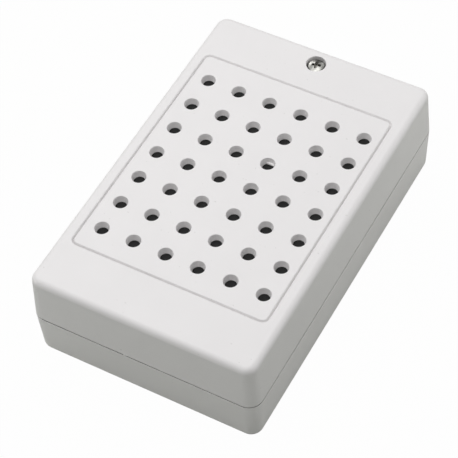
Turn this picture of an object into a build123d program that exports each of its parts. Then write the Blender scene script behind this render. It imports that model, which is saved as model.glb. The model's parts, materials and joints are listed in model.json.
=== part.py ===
from build123d import *
import os
from math import acos, atan2, degrees, radians, sqrt, tan

# Intercom repeater speaker: a wall box whose grilled cover swings off two hooks, with a round
# loudspeaker and a small connection board inside. Sizes are in millimetres, +Z is up.
# The origin is at the middle of the base's back face. The cover screw is at the +Y end,
# the hooks are at the -Y end, and z = BASE_HEIGHT is the parting plane of the two shells.

# Box
BOX_WIDTH = 73.8
BOX_LENGTH = 116.4
BASE_HEIGHT = 16.4
COVER_HEIGHT = 16.6
CORNER_R = 4.4
COVER_DRAFT = 3.3
BASE_DRAFT = 2.4
TOP_EDGE_R = 2.1
BACK_EDGE_R = 2.0
SIDE_WALL = 2.4
TOP_WALL = 2.1
BACK_WALL = 2.2
PARTING_CHAMFER = 0.25

# Tongue on the base and rebate in the cover
LIP_INSET = 1.4
LIP_HEIGHT = 1.4
LIP_GAP = 0.15

# Sound holes and the engraved line round them
HOLE_COLUMNS = 6
HOLE_ROWS = 7
HOLE_PITCH = 10.5
HOLE_RIM_R = 2.25
HOLE_BACK_R = 1.75
GRILLE_Y = -0.65
LINE_MARGIN_X = 5.25
LINE_MARGIN_Y = 8.8
LINE_CORNER_R = 3.2
LINE_WIDTH = 1.9
LINE_DEPTH = 0.48
LINE_FLOOR = 0.24
WEB_COLUMN = 3
WEB_ROW = 4
WEB_OFFSET = 1.27
WEB_THICKNESS = 0.5

# Cover screw, its sunk seat and the posts that it joins
SCREW_END_INSET = 6.9
SCREW_HEAD_R = 2.68
SCREW_HEAD_HEIGHT = 2.2
SCREW_HEAD_ROUND = 0.9
SCREW_CROWN_SHARE = 0.2
SCREW_HEAD_SINK = 1.3
CROSS_SPAN = 2.9
CROSS_WING = 0.7
CROSS_DEPTH = 1.3
SCREW_LENGTH = 19.0
SCREW_CORE_R = 1.1
SCREW_THREAD = 0.4
SCREW_POINT = 1.6
SEAT_CLEARANCE = 0.57
SEAT_WALL = 1.4
SEAT_FLOOR = 1.6
SCREW_CLEARANCE = 0.15
SCREW_PILOT_GAP = 0.22
SCREW_PILOT_DEPTH = 9.0
SCREW_POST_WALL = 2.25
POST_GAP = 0.2
POST_RIB = 1.4

# Hooks that the cover swings on
HOOK_X = 18.0
HOOK_WIDTH = 8.0
HOOK_STANDOFF = 0.4
HOOK_THICKNESS = 1.6
HOOK_DROP = 4.7
HOOK_ROOT = 6.5
HOOK_NOSE = 1.45
HOOK_ARC_MARGIN = 0.45
HOOK_GAP = 0.15
HOOK_NOSE_GAP = 0.25
HOOK_SIDE_GAP = 0.3
HOOK_NOTCH_GAP = 0.6
HOOK_EMBED = 0.6

# Cloth behind the grille
CLOTH_MARGIN = 4.5
CLOTH_THICKNESS = 0.3
CLOTH_FRAME_WIDTH = 1.0
CLOTH_FRAME_HEIGHT = 0.9
CLOTH_GAP = 0.3

# Wall screws and cable entry in the back
WALL_HOLE_SIDE_INSET = 8.9
WALL_HOLE_END_INSET = 12.2
WALL_HOLE_R = 2.25
ENTRY_WIDTH = 20.0
ENTRY_LENGTH = 11.0
ENTRY_CORNER_R = 2.5
ENTRY_Y = -24.0
ENTRY_RIM_WIDTH = 1.2
ENTRY_RIM_HEIGHT = 1.0
GATE_X = -5.1
GATE_R = 0.45
GATE_PROUD = 0.15

# Loudspeaker. Heights below are measured down from the front of its flange.
FLANGE_R = 28.5
FLANGE_THICKNESS = 0.7
SPEAKER_GAP = 3.7
SHEET = 0.6
SURROUND_RIM_INSET = 1.9
SURROUND_OUTER_R = 24.4
SURROUND_INNER_R = 21.6
SURROUND_THICKNESS = 0.3
SURROUND_WAVE = 0.6
SURROUND_WAVES = 1
CONE_EDGE_R = 20.4
CONE_NECK_GLUE = 0.2
CONE_DEPTH = 7.6
CONE_THICKNESS = 0.35
SHELF_DEPTH = 8.6
SHELF_OUTER_R = 15.4
SHELF_INNER_R = 12.8
BASKET_DEPTH = 11.5
BASKET_MOUTH_R = 23.6
BASKET_BORE_STEP = 0.5
WINDOW_COUNT = 4
WINDOW_RADIUS = 19.3
WINDOW_LENGTH = 15.0
WINDOW_WIDTH = 6.0
PLATE_R = 14.0
PLATE_THICKNESS = 2.5
MAGNET_OVERHANG = 2.0
MAGNET_BORE_STEP = 1.2
MAGNET_HEIGHT = 6.0
YOKE_THICKNESS = 2.2
POLE_GAP = 0.3
FORMER_R = 6.5
FORMER_THICKNESS = 0.3
FORMER_TOP = 6.9
FORMER_LENGTH = 8.8
COIL_THICKNESS = 0.35
COIL_HEIGHT = 5.0
COIL_GAP = 0.25
SPIDER_WAVE = 0.55
SPIDER_WAVES = 2
CAP_R = 8.0
CAP_RISE = 2.2
CAP_GLUE_GAP = 0.1
GASKET_GAP = 0.2

# How the loudspeaker is held
CLAMP_OFFSET = 2.8
CLAMP_POST_R = 4.0
CLAMP_SEAT_GAP = 0.3
CLAMP_LENGTH = 8.0
CLAMP_WIDTH = 7.0
CLAMP_THICKNESS = 0.8
CLAMP_BORE_GAP = 0.4
SMALL_SCREW_HEAD_R = 2.5
SMALL_SCREW_HEAD_HEIGHT = 1.7
SMALL_SCREW_CORE_R = 1.0
SMALL_SCREW_LENGTH = 8.0
SMALL_PILOT_GAP = 0.1
SMALL_PILOT_DEPTH = 9.0

# Tag board on the back of the loudspeaker
EAR_WIDTH = 9.0
EAR_REACH = 22.0
TAG_BOARD_WIDTH = 14.0
TAG_BOARD_DEPTH = 6.5
TAG_BOARD_THICKNESS = 0.8
TAG_BOARD_RADIUS = 19.9
TAG_X = 4.2
TAG_WIDTH = 2.2
TAG_LENGTH = 8.0
TAG_THICKNESS = 0.3
TINSEL_X = 3.6
TINSEL_WIDTH = 0.8
TINSEL_THICKNESS = 0.3
TINSEL_INNER_Y = 14.5
TINSEL_OUTER_Y = 17.6
TINSEL_GAP = 0.25
TINSEL_SLACK = 1.6
SOLDER_GAP = 0.05

# Connection board
BOARD_WIDTH = 44.0
BOARD_DEPTH = 19.0
BOARD_THICKNESS = 1.6
BOARD_END_GAP = 4.0
BOARD_LIFT = 4.6
BOARD_SCREW_X = 18.6
BOARD_SCREW_Y = -6.0
STANDOFF_R = 2.9
BOARD_HOLE_GAP = 0.3
BOARD_SCREW_LENGTH = 5.0

# Screw terminal: the mouths face +Y, and places are measured from the housing's middle
TERMINAL_X = -9.0
POLE_PITCH = 5.08
POLES = 2
TERMINAL_DEPTH = 8.0
TERMINAL_HEIGHT = 10.0
CAVITY_WIDTH = 3.9
CAVITY_BACK = -3.2
CAVITY_FRONT = 3.0
CAVITY_FLOOR = 1.0
CAVITY_TOP = 7.8
MOUTH_WIDTH = 3.2
MOUTH_BOTTOM = 1.8
MOUTH_HEIGHT = 3.2
CAGE_WIDTH = 3.5
CAGE_BACK = -1.7
CAGE_FRONT = 2.6
CAGE_BOTTOM = 1.2
CAGE_HEIGHT = 5.0
CAGE_WALL = 0.5
CAGE_PLATE = 0.8
CLAMP_SCREW_CORE_R = 1.1
CLAMP_SCREW_HEAD_R = 1.5
CLAMP_SCREW_HEAD_HEIGHT = 1.4
CLAMP_SCREW_SLOT = 0.5
CLAMP_SCREW_SLOT_DEPTH = 0.6
SCREW_RUN_GAP = 0.1
TONGUE_WIDTH = 2.2
TONGUE_THICKNESS = 0.6
TONGUE_BOTTOM = 4.6
PIN_REACH = 3.2
PIN_WIDTH = 0.9
PIN_GAP = 0.15
TERMINAL_CHAMFER = 0.8

# Volume trimmer
TRIMMER_X = 4.0
TRIMMER_Y = -4.3
TRIMMER_SIZE = 9.5
TRIMMER_HEIGHT = 4.6
ROTOR_R = 3.2
ROTOR_HEIGHT = 2.4
ROTOR_PROUD = 0.5
ROTOR_GAP = 0.1
ROTOR_SLOT = 1.0
ROTOR_SLOT_LENGTH = 5.2
ROTOR_SLOT_DEPTH = 1.2

# Coupling capacitor, series resistor and the leads to the loudspeaker
CAPACITOR_X = 14.5
CAPACITOR_Y = 3.6
CAPACITOR_R = 4.0
CAPACITOR_HEIGHT = 11.5
CAPACITOR_EDGE = 0.4
CAPACITOR_GROOVE = 0.5
CAPACITOR_GROOVE_Z = 1.7
RESISTOR_X = -10.0
RESISTOR_Y = -4.6
RESISTOR_R = 1.15
RESISTOR_LENGTH = 6.3
RESISTOR_SPAN = 10.16
RESISTOR_LIFT = 0.2
COMPONENT_LEAD_R = 0.3
COMPONENT_LEAD_REACH = 3.0
LEAD_R = 0.6
LEAD_X = 3.4
LEAD_CENTRE_X = 1.0
LEAD_Y = 5.6
LEAD_TAG_INSET = 1.0
BEND_SHARE = 0.45

# Sizes that fit others with the clearances above
SEAT_R = SCREW_HEAD_R + SEAT_CLEARANCE
SCREW_CLEARANCE_R = SCREW_CORE_R + SCREW_THREAD + SCREW_CLEARANCE
SCREW_PILOT_R = SCREW_CORE_R + SCREW_PILOT_GAP
SCREW_POST_R = SCREW_CLEARANCE_R + SCREW_POST_WALL
HOOK_ARC_R = SIDE_WALL + HOOK_STANDOFF - PARTING_CHAMFER + HOOK_ARC_MARGIN
POCKET_SKIN = SIDE_WALL + HOOK_STANDOFF - HOOK_NOSE - HOOK_NOSE_GAP
COIL_R = FORMER_R + FORMER_THICKNESS + COIL_THICKNESS
CONE_NECK_R = FORMER_R + FORMER_THICKNESS + CONE_NECK_GLUE
POLE_R = FORMER_R - POLE_GAP
PLATE_BORE_R = COIL_R + COIL_GAP
BASKET_BORE_R = PLATE_BORE_R + BASKET_BORE_STEP
MAGNET_BORE_R = PLATE_BORE_R + MAGNET_BORE_STEP
MAGNET_R = PLATE_R + MAGNET_OVERHANG
SURROUND_RIM_R = FLANGE_R - SURROUND_RIM_INSET
GASKET_INNER_R = SURROUND_OUTER_R + GASKET_GAP
CLAMP_RADIUS = FLANGE_R + CLAMP_OFFSET
CLAMP_BORE_R = SMALL_SCREW_CORE_R + CLAMP_BORE_GAP
SMALL_PILOT_R = SMALL_SCREW_CORE_R + SMALL_PILOT_GAP
BOARD_HOLE_R = SMALL_SCREW_CORE_R + BOARD_HOLE_GAP
WALL_HOLE_X = BOX_WIDTH / 2 - WALL_HOLE_SIDE_INSET
WALL_HOLE_Y = BOX_LENGTH / 2 - WALL_HOLE_END_INSET

# Levels and places that follow from the sizes above
PARTING_Z = BASE_HEIGHT
TOP_Z = BASE_HEIGHT + COVER_HEIGHT
CEILING_Z = TOP_Z - TOP_WALL
END_Y = -BOX_LENGTH / 2
PIVOT_Y = END_Y + PARTING_CHAMFER
SCREW_Y = BOX_LENGTH / 2 - SCREW_END_INSET
SEAT_DEPTH = SCREW_HEAD_SINK + SCREW_HEAD_HEIGHT
CLOTH_WIDTH = (HOLE_COLUMNS - 1) * HOLE_PITCH + 2 * CLOTH_MARGIN
CLOTH_LENGTH = (HOLE_ROWS - 1) * HOLE_PITCH + 2 * CLOTH_MARGIN
CLOTH_Z = CEILING_Z - CLOTH_THICKNESS
SPEAKER_Z = CLOTH_Z - SPEAKER_GAP
PLATE_Z = SPEAKER_Z - BASKET_DEPTH
MAGNET_Z = PLATE_Z - PLATE_THICKNESS
YOKE_Z = MAGNET_Z - MAGNET_HEIGHT
BOARD_Y = END_Y + SIDE_WALL + BOARD_END_GAP + BOARD_DEPTH / 2
BOARD_Z = BACK_WALL + BOARD_LIFT
BOARD_TOP = BOARD_Z + BOARD_THICKNESS
TERMINAL_Y = BOARD_Y + (BOARD_DEPTH - TERMINAL_DEPTH) / 2
TAG_Y = GRILLE_Y - TAG_BOARD_RADIUS
TAG_BOARD_Z = PLATE_Z + SHEET
CONE_SLOPE = CONE_DEPTH / (CONE_EDGE_R - CONE_NECK_R)
SPEAKER_AXIS = Axis((0, GRILLE_Y, 0), (0, 0, 1))
SPEAKER_SECTION = Plane(origin=(0, GRILLE_Y, SPEAKER_Z), x_dir=(1, 0, 0), z_dir=(0, -1, 0))
CORNERS = [(x, y) for x in (-1, 1) for y in (-1, 1)]
CLAMP_XY = CLAMP_RADIUS / sqrt(2)
CLAMP_POINTS = [(x * CLAMP_XY, GRILLE_Y + y * CLAMP_XY) for x, y in CORNERS]
WALL_POINTS = [(x * WALL_HOLE_X, y * WALL_HOLE_Y) for x, y in CORNERS]
BOARD_SCREW_POINTS = [(x * BOARD_SCREW_X, BOARD_Y + BOARD_SCREW_Y) for x in (-1, 1)]
POLE_POINTS = [TERMINAL_X + (i - (POLES - 1) / 2) * POLE_PITCH for i in range(POLES)]


def inset_box(inset, mode=Mode.ADD):
    """A rounded rectangle that runs inside the box's outline at the parting plane."""
    return RectangleRounded(BOX_WIDTH - 2 * inset, BOX_LENGTH - 2 * inset, CORNER_R - inset, mode=mode)


def dome(edge_r, edge_z, rise):
    """The section of a spherical dome, from its edge up to its crown on the axis."""
    sphere_r = (edge_r**2 + rise**2) / (2 * rise)
    edge_angle = degrees(atan2(sphere_r - rise, edge_r))
    return CenterArc((0, edge_z + rise - sphere_r), sphere_r, edge_angle, 90 - edge_angle)


def lead_radii(points):
    """The largest arc that each corner of a lead's route leaves room for."""
    radii = []
    for before, corner, after in zip(points, points[1:], points[2:]):
        run_in, run_out = Vector(corner) - Vector(before), Vector(after) - Vector(corner)
        half_turn = radians(run_in.get_angle(run_out)) / 2
        radii.append(BEND_SHARE * min(run_in.length, run_out.length) / tan(half_turn))
    return radii


def corrugated(rim_r, outer_r, inner_r, foot_r, waves, rise, level):
    """The section of a thin ring that is corrugated between two flat rims."""
    pitch = (outer_r - inner_r) / (2 * waves)
    crests = [(rim_r, level), (outer_r, level)]
    crests += [(outer_r - (i + 0.5) * pitch, level + rise * (-1) ** i) for i in range(2 * waves)]
    crests += [(inner_r, level), (foot_r, level)]
    upper = [(r, z + SURROUND_THICKNESS) for r, z in crests]
    return Polyline(*crests, *reversed(upper), close=True)


# Front cover: drafted shell, sound holes, panel line, screw turret, rebate and hooks
with BuildPart() as front_cover:
    with BuildSketch(Plane.XY.offset(PARTING_Z)):
        inset_box(0)
    extrude(amount=COVER_HEIGHT, taper=COVER_DRAFT)
    fillet(front_cover.edges().group_by(Axis.Z)[-1], TOP_EDGE_R)
    chamfer(front_cover.edges().group_by(Axis.Z)[0], PARTING_CHAMFER)
    with BuildSketch(Plane.XY.offset(PARTING_Z)):
        inset_box(SIDE_WALL)
    extrude(amount=COVER_HEIGHT - TOP_WALL, taper=COVER_DRAFT, mode=Mode.SUBTRACT)
    with BuildSketch(Plane.XY.offset(PARTING_Z)):
        inset_box(LIP_INSET - LIP_GAP)
    extrude(amount=LIP_HEIGHT + LIP_GAP, mode=Mode.SUBTRACT)
    # Frame that the cloth is glued into
    with BuildSketch(Plane.XY.offset(CEILING_Z)):
        with Locations((0, GRILLE_Y)):
            frame = 2 * (CLOTH_GAP + CLOTH_FRAME_WIDTH)
            Rectangle(CLOTH_WIDTH + frame, CLOTH_LENGTH + frame)
            opening = 2 * CLOTH_GAP
            Rectangle(CLOTH_WIDTH + opening, CLOTH_LENGTH + opening, mode=Mode.SUBTRACT)
    extrude(amount=-CLOTH_FRAME_HEIGHT)
    # Turret round the sunk screw seat, and the post below it
    with Locations((0, SCREW_Y, PARTING_Z)):
        Cylinder(SCREW_POST_R, CEILING_Z - PARTING_Z, align=(Align.CENTER, Align.CENTER, Align.MIN))
    with Locations((0, SCREW_Y, TOP_Z - SEAT_DEPTH - SEAT_FLOOR)):
        turret_height = SEAT_DEPTH + SEAT_FLOOR - TOP_WALL
        Cylinder(SEAT_R + SEAT_WALL, turret_height, align=(Align.CENTER, Align.CENTER, Align.MIN))
    wall_at_turret = BOX_LENGTH / 2 - SIDE_WALL
    with BuildSketch(Plane.XY.offset(PARTING_Z + LIP_HEIGHT + LIP_GAP)):
        with Locations((0, (SCREW_Y + wall_at_turret) / 2)):
            Rectangle(POST_RIB, wall_at_turret - SCREW_Y)
    extrude(until=Until.NEXT)
    with Locations((0, SCREW_Y, TOP_Z)):
        CounterBoreHole(SCREW_CLEARANCE_R, SEAT_R, SEAT_DEPTH, depth=COVER_HEIGHT)
    # Sound holes, narrower at the back
    with Locations((0, GRILLE_Y, TOP_Z)):
        with GridLocations(HOLE_PITCH, HOLE_PITCH, HOLE_COLUMNS, HOLE_ROWS):
            top_aligned = (Align.CENTER, Align.CENTER, Align.MAX)
            Cone(HOLE_BACK_R, HOLE_RIM_R, TOP_WALL, align=top_aligned, mode=Mode.SUBTRACT)
    # One hole keeps a thin web across its far side
    web_x = (WEB_COLUMN - (HOLE_COLUMNS - 1) / 2) * HOLE_PITCH
    web_y = GRILLE_Y + (WEB_ROW - (HOLE_ROWS - 1) / 2) * HOLE_PITCH + WEB_OFFSET
    with Locations((web_x, web_y, CEILING_Z)):
        Box(2 * HOLE_BACK_R, HOLE_BACK_R, WEB_THICKNESS, align=(Align.CENTER, Align.MIN, Align.MIN))
    # Engraved line round the grille
    line_width = (HOLE_COLUMNS - 1) * HOLE_PITCH + 2 * LINE_MARGIN_X
    line_length = (HOLE_ROWS - 1) * HOLE_PITCH + 2 * LINE_MARGIN_Y
    with BuildSketch(Plane.XY.offset(TOP_Z)):
        with Locations((0, GRILLE_Y)):
            RectangleRounded(line_width, line_length, LINE_CORNER_R)
            offset(amount=LINE_WIDTH / 2)
            RectangleRounded(
                line_width - LINE_WIDTH,
                line_length - LINE_WIDTH,
                LINE_CORNER_R - LINE_WIDTH / 2,
                mode=Mode.SUBTRACT,
            )
    line_draft = degrees(atan2((LINE_WIDTH - LINE_FLOOR) / 2, LINE_DEPTH))
    extrude(amount=-LINE_DEPTH, taper=line_draft, mode=Mode.SUBTRACT)
    # Hooks: each nose is cut to an arc about the edge that the cover swings on
    face_y = END_Y + SIDE_WALL + HOOK_STANDOFF
    nose_y = face_y - HOOK_NOSE
    root_z = PARTING_Z + LIP_HEIGHT + LIP_GAP
    nose_angle = -degrees(acos((nose_y - PIVOT_Y) / HOOK_ARC_R))
    face_angle = -degrees(acos((face_y - PIVOT_Y) / HOOK_ARC_R))
    for hook_x in (-HOOK_X, HOOK_X):
        with BuildSketch(Plane.YZ.offset(hook_x)):
            with BuildLine():
                arc = CenterArc((PIVOT_Y, PARTING_Z), HOOK_ARC_R, nose_angle, face_angle - nose_angle)
                Polyline(
                    arc @ 1,
                    (face_y, root_z),
                    (END_Y + LIP_INSET + HOOK_EMBED, root_z),
                    (END_Y + LIP_INSET + HOOK_EMBED, root_z + HOOK_ROOT),
                    (face_y + HOOK_THICKNESS, root_z + HOOK_ROOT),
                    (face_y + HOOK_THICKNESS, PARTING_Z - HOOK_DROP),
                    (nose_y, PARTING_Z - HOOK_DROP),
                    arc @ 0,
                )
            make_face()
        extrude(amount=HOOK_WIDTH / 2, both=True)

# Rear base: drafted tray with tongue, hook pockets, posts, wall-screw holes and cable entry
with BuildPart() as rear_base:
    with BuildSketch(Plane.XY.offset(PARTING_Z)):
        inset_box(0)
    extrude(amount=-BASE_HEIGHT, taper=BASE_DRAFT)
    fillet(rear_base.edges().group_by(Axis.Z)[0], BACK_EDGE_R)
    chamfer(rear_base.edges().group_by(Axis.Z)[-1], PARTING_CHAMFER)
    with BuildSketch(Plane.XY.offset(PARTING_Z)):
        inset_box(SIDE_WALL)
    extrude(amount=-(BASE_HEIGHT - BACK_WALL), taper=BASE_DRAFT, mode=Mode.SUBTRACT)
    with BuildSketch(Plane.XY.offset(PARTING_Z)):
        inset_box(LIP_INSET)
        inset_box(SIDE_WALL, mode=Mode.SUBTRACT)
    extrude(amount=LIP_HEIGHT)
    # Pockets in the end wall, under an arc just inside the noses' own, and notches in the tongue
    pocket_y = END_Y + POCKET_SKIN
    pocket_in_y = END_Y + SIDE_WALL + HOOK_STANDOFF
    pocket_r = HOOK_ARC_R - HOOK_GAP
    pocket_z = PARTING_Z - HOOK_DROP - HOOK_SIDE_GAP
    pocket_angle = -degrees(acos((pocket_y - PIVOT_Y) / pocket_r))
    pocket_in_angle = -degrees(acos((pocket_in_y - PIVOT_Y) / pocket_r))
    for hook_x in (-HOOK_X, HOOK_X):
        with BuildSketch(Plane.YZ.offset(hook_x)):
            with BuildLine():
                arc_span = pocket_in_angle - pocket_angle
                arc = CenterArc((PIVOT_Y, PARTING_Z), pocket_r, pocket_angle, arc_span)
                Polyline(arc @ 1, (pocket_in_y, pocket_z), (pocket_y, pocket_z), arc @ 0)
            make_face()
        extrude(amount=HOOK_WIDTH / 2 + HOOK_SIDE_GAP, both=True, mode=Mode.SUBTRACT)
        with Locations((hook_x, END_Y + SIDE_WALL, PARTING_Z)):
            notch = (HOOK_WIDTH + 2 * HOOK_NOTCH_GAP, 2 * SIDE_WALL, LIP_HEIGHT)
            Box(*notch, align=(Align.CENTER, Align.CENTER, Align.MIN), mode=Mode.SUBTRACT)
    # Post for the cover screw, tied to the end wall by a rib
    with Locations((0, SCREW_Y, 0)):
        post_height = PARTING_Z - POST_GAP
        Cylinder(SCREW_POST_R, post_height, align=(Align.CENTER, Align.CENTER, Align.MIN))
    rib_end = BOX_LENGTH / 2 - SIDE_WALL
    with Locations((0, (SCREW_Y + rib_end) / 2, 0)):
        Box(POST_RIB, rib_end - SCREW_Y, post_height, align=(Align.CENTER, Align.CENTER, Align.MIN))
    with Locations((0, SCREW_Y, post_height)):
        Hole(SCREW_PILOT_R, depth=SCREW_PILOT_DEPTH)
    # Posts that clamp the loudspeaker's flange, each with a crescent seat for its edge
    with Locations(*[(x, y, 0) for x, y in CLAMP_POINTS]):
        Cylinder(CLAMP_POST_R, SPEAKER_Z, align=(Align.CENTER, Align.CENTER, Align.MIN))
    with Locations((0, GRILLE_Y, SPEAKER_Z - FLANGE_THICKNESS)):
        seat_r = FLANGE_R + CLAMP_SEAT_GAP
        seat_aligned = (Align.CENTER, Align.CENTER, Align.MIN)
        Cylinder(seat_r, 2 * FLANGE_THICKNESS, align=seat_aligned, mode=Mode.SUBTRACT)
    with Locations(*[(x, y, SPEAKER_Z) for x, y in CLAMP_POINTS]):
        Hole(SMALL_PILOT_R, depth=SMALL_PILOT_DEPTH)
    # Standoffs under the board
    with Locations(*[(x, y, 0) for x, y in BOARD_SCREW_POINTS]):
        Cylinder(STANDOFF_R, BOARD_Z, align=(Align.CENTER, Align.CENTER, Align.MIN))
    with Locations(*[(x, y, BOARD_Z) for x, y in BOARD_SCREW_POINTS]):
        Hole(SMALL_PILOT_R, depth=BOARD_LIFT)
    # Rimmed cable entry and the holes for the wall screws
    with BuildSketch(Plane.XY.offset(BACK_WALL)):
        with Locations((0, ENTRY_Y)):
            rim = 2 * ENTRY_RIM_WIDTH
            RectangleRounded(ENTRY_WIDTH + rim, ENTRY_LENGTH + rim, ENTRY_CORNER_R + ENTRY_RIM_WIDTH)
    extrude(amount=ENTRY_RIM_HEIGHT)
    with BuildSketch(Plane.XY):
        with Locations((0, ENTRY_Y)):
            RectangleRounded(ENTRY_WIDTH, ENTRY_LENGTH, ENTRY_CORNER_R)
        with Locations(*WALL_POINTS):
            Circle(WALL_HOLE_R)
    extrude(amount=BACK_WALL + ENTRY_RIM_HEIGHT, mode=Mode.SUBTRACT)
    # Moulding gate mark just under the parting line
    gate_z = PARTING_Z - PARTING_CHAMFER - GATE_R
    with Locations(Plane(origin=(GATE_X, END_Y - GATE_PROUD, gate_z), z_dir=(0, 1, 0))):
        Cylinder(GATE_R, SIDE_WALL / 2, align=(Align.CENTER, Align.CENTER, Align.MIN))

# Black cloth glued to the ceiling behind the sound holes
with BuildPart() as acoustic_cloth:
    with BuildSketch(Plane.XY.offset(CLOTH_Z)):
        with Locations((0, GRILLE_Y)):
            Rectangle(CLOTH_WIDTH, CLOTH_LENGTH)
    extrude(amount=CLOTH_THICKNESS)

# Cover screw: domed pan head with a cross recess, plain core and point
with BuildPart() as cover_screw:
    head_z = TOP_Z - SEAT_DEPTH
    screw_plane = Plane(origin=(0, SCREW_Y, head_z), x_dir=(1, 0, 0), z_dir=(0, -1, 0))
    with BuildSketch(screw_plane):
        with BuildLine():
            crown_rise = SCREW_HEAD_HEIGHT * SCREW_CROWN_SHARE
            crown_z = SCREW_HEAD_HEIGHT - crown_rise
            crown = dome(SCREW_HEAD_R - SCREW_HEAD_ROUND, crown_z, crown_rise)
            side = Line((SCREW_HEAD_R, 0), (SCREW_HEAD_R, crown_z - SCREW_HEAD_ROUND))
            round_x = SCREW_HEAD_R - SCREW_HEAD_ROUND * (1 - sqrt(0.5))
            round_z = crown_z - SCREW_HEAD_ROUND * (1 - sqrt(0.5))
            ThreePointArc(side @ 1, (round_x, round_z), crown @ 0)
            Polyline(
                crown @ 1,
                (0, -SCREW_LENGTH),
                (SCREW_CORE_R, SCREW_POINT - SCREW_LENGTH),
                (SCREW_CORE_R, 0),
                side @ 0,
            )
        make_face()
    revolve(axis=Axis((0, SCREW_Y, 0), (0, 0, 1)))
    with BuildSketch(Plane.XY.offset(head_z + SCREW_HEAD_HEIGHT)):
        with Locations((0, SCREW_Y)):
            Rectangle(CROSS_SPAN, CROSS_WING)
            Rectangle(CROSS_WING, CROSS_SPAN)
    extrude(amount=-CROSS_DEPTH, mode=Mode.SUBTRACT)

# Loudspeaker frame: pressed steel with a flange, a shelf for the spider and four windows
with BuildPart() as speaker_basket:
    with BuildSketch(SPEAKER_SECTION):
        with BuildLine():
            Polyline(
                (FLANGE_R, 0),
                (BASKET_MOUTH_R, 0),
                (SHELF_OUTER_R, -SHELF_DEPTH),
                (SHELF_INNER_R, -SHELF_DEPTH),
                (SHELF_INNER_R, SHEET - BASKET_DEPTH),
                (BASKET_BORE_R, SHEET - BASKET_DEPTH),
                (BASKET_BORE_R, -BASKET_DEPTH),
                (SHELF_INNER_R + SHEET, -BASKET_DEPTH),
                (SHELF_INNER_R + SHEET, -SHELF_DEPTH - SHEET),
                (SHELF_OUTER_R + SHEET / 2, -SHELF_DEPTH - SHEET),
                (BASKET_MOUTH_R + SHEET / 2, -FLANGE_THICKNESS),
                (FLANGE_R, -FLANGE_THICKNESS),
                (FLANGE_R, 0),
            )
        make_face()
    revolve(axis=SPEAKER_AXIS)
    with BuildSketch(Plane.XY.offset(SPEAKER_Z - SHELF_DEPTH - SHEET)):
        with Locations((0, GRILLE_Y)):
            with PolarLocations(WINDOW_RADIUS, WINDOW_COUNT):
                Rectangle(WINDOW_WIDTH, WINDOW_LENGTH)
    extrude(amount=SHELF_DEPTH + SHEET - 2 * FLANGE_THICKNESS, mode=Mode.SUBTRACT)
    # Ear that carries the tag board
    with Locations((0, GRILLE_Y - SHELF_INNER_R, PLATE_Z)):
        ear = (EAR_WIDTH, EAR_REACH - SHELF_INNER_R, SHEET)
        Box(*ear, align=(Align.CENTER, Align.MAX, Align.MIN))

# Cone surround: outer rim on the flange, corrugated roll, inner rim on the cone
with BuildPart() as cone_surround:
    with BuildSketch(SPEAKER_SECTION):
        with BuildLine():
            radii = (SURROUND_RIM_R, SURROUND_OUTER_R, SURROUND_INNER_R, CONE_EDGE_R)
            corrugated(*radii, SURROUND_WAVES, SURROUND_WAVE, 0)
        make_face()
    revolve(axis=SPEAKER_AXIS)

# Paper cone: flat edge under the surround, straight flare down to the neck
with BuildPart() as speaker_cone:
    with BuildSketch(SPEAKER_SECTION):
        with BuildLine():
            Polyline(
                (SURROUND_INNER_R, 0),
                (CONE_EDGE_R, 0),
                (CONE_NECK_R, -CONE_DEPTH),
                (CONE_NECK_R, -CONE_DEPTH - CONE_THICKNESS),
                (CONE_EDGE_R, -CONE_THICKNESS),
                (SURROUND_INNER_R, -CONE_THICKNESS),
                (SURROUND_INNER_R, 0),
            )
        make_face()
    revolve(axis=SPEAKER_AXIS)

# Dust cap: a thin dome standing on the cone
with BuildPart() as dust_cap:
    cap_z = CAP_GLUE_GAP - (CONE_EDGE_R - CAP_R) * CONE_SLOPE
    with BuildSketch(SPEAKER_SECTION):
        with BuildLine():
            top = dome(CAP_R, cap_z, CAP_RISE)
            under = dome(CAP_R - 2 * CONE_THICKNESS, cap_z, CAP_RISE - CONE_THICKNESS)
            Line(top @ 1, under @ 1)
            Line(under @ 0, top @ 0)
        make_face()
    revolve(axis=SPEAKER_AXIS)

# Voice coil former and its winding
with BuildPart() as coil_former:
    with BuildSketch(Plane.XY.offset(SPEAKER_Z - FORMER_TOP - FORMER_LENGTH)):
        with Locations((0, GRILLE_Y)):
            Circle(FORMER_R + FORMER_THICKNESS)
            Circle(FORMER_R, mode=Mode.SUBTRACT)
    extrude(amount=FORMER_LENGTH)

with BuildPart() as voice_coil:
    with BuildSketch(Plane.XY.offset(PLATE_Z - PLATE_THICKNESS / 2 - COIL_HEIGHT / 2)):
        with Locations((0, GRILLE_Y)):
            Circle(COIL_R)
            Circle(FORMER_R + FORMER_THICKNESS, mode=Mode.SUBTRACT)
    extrude(amount=COIL_HEIGHT)

# Spider: a corrugated disc from the basket's shelf to the former
with BuildPart() as spider:
    with BuildSketch(SPEAKER_SECTION):
        with BuildLine():
            foot_r = FORMER_R + FORMER_THICKNESS
            radii = (SHELF_OUTER_R - SHEET, SHELF_INNER_R, foot_r + SHEET, foot_r)
            corrugated(*radii, SPIDER_WAVES, SPIDER_WAVE, -SHELF_DEPTH)
        make_face()
    revolve(axis=SPEAKER_AXIS)

# Magnet system: front plate, ferrite ring, and back plate with its pole
with BuildPart() as top_plate:
    with BuildSketch(Plane.XY.offset(PLATE_Z)):
        with Locations((0, GRILLE_Y)):
            Circle(PLATE_R)
            Circle(PLATE_BORE_R, mode=Mode.SUBTRACT)
    extrude(amount=-PLATE_THICKNESS)

with BuildPart() as magnet:
    with BuildSketch(Plane.XY.offset(MAGNET_Z)):
        with Locations((0, GRILLE_Y)):
            Circle(MAGNET_R)
            Circle(MAGNET_BORE_R, mode=Mode.SUBTRACT)
    extrude(amount=-MAGNET_HEIGHT)

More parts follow.
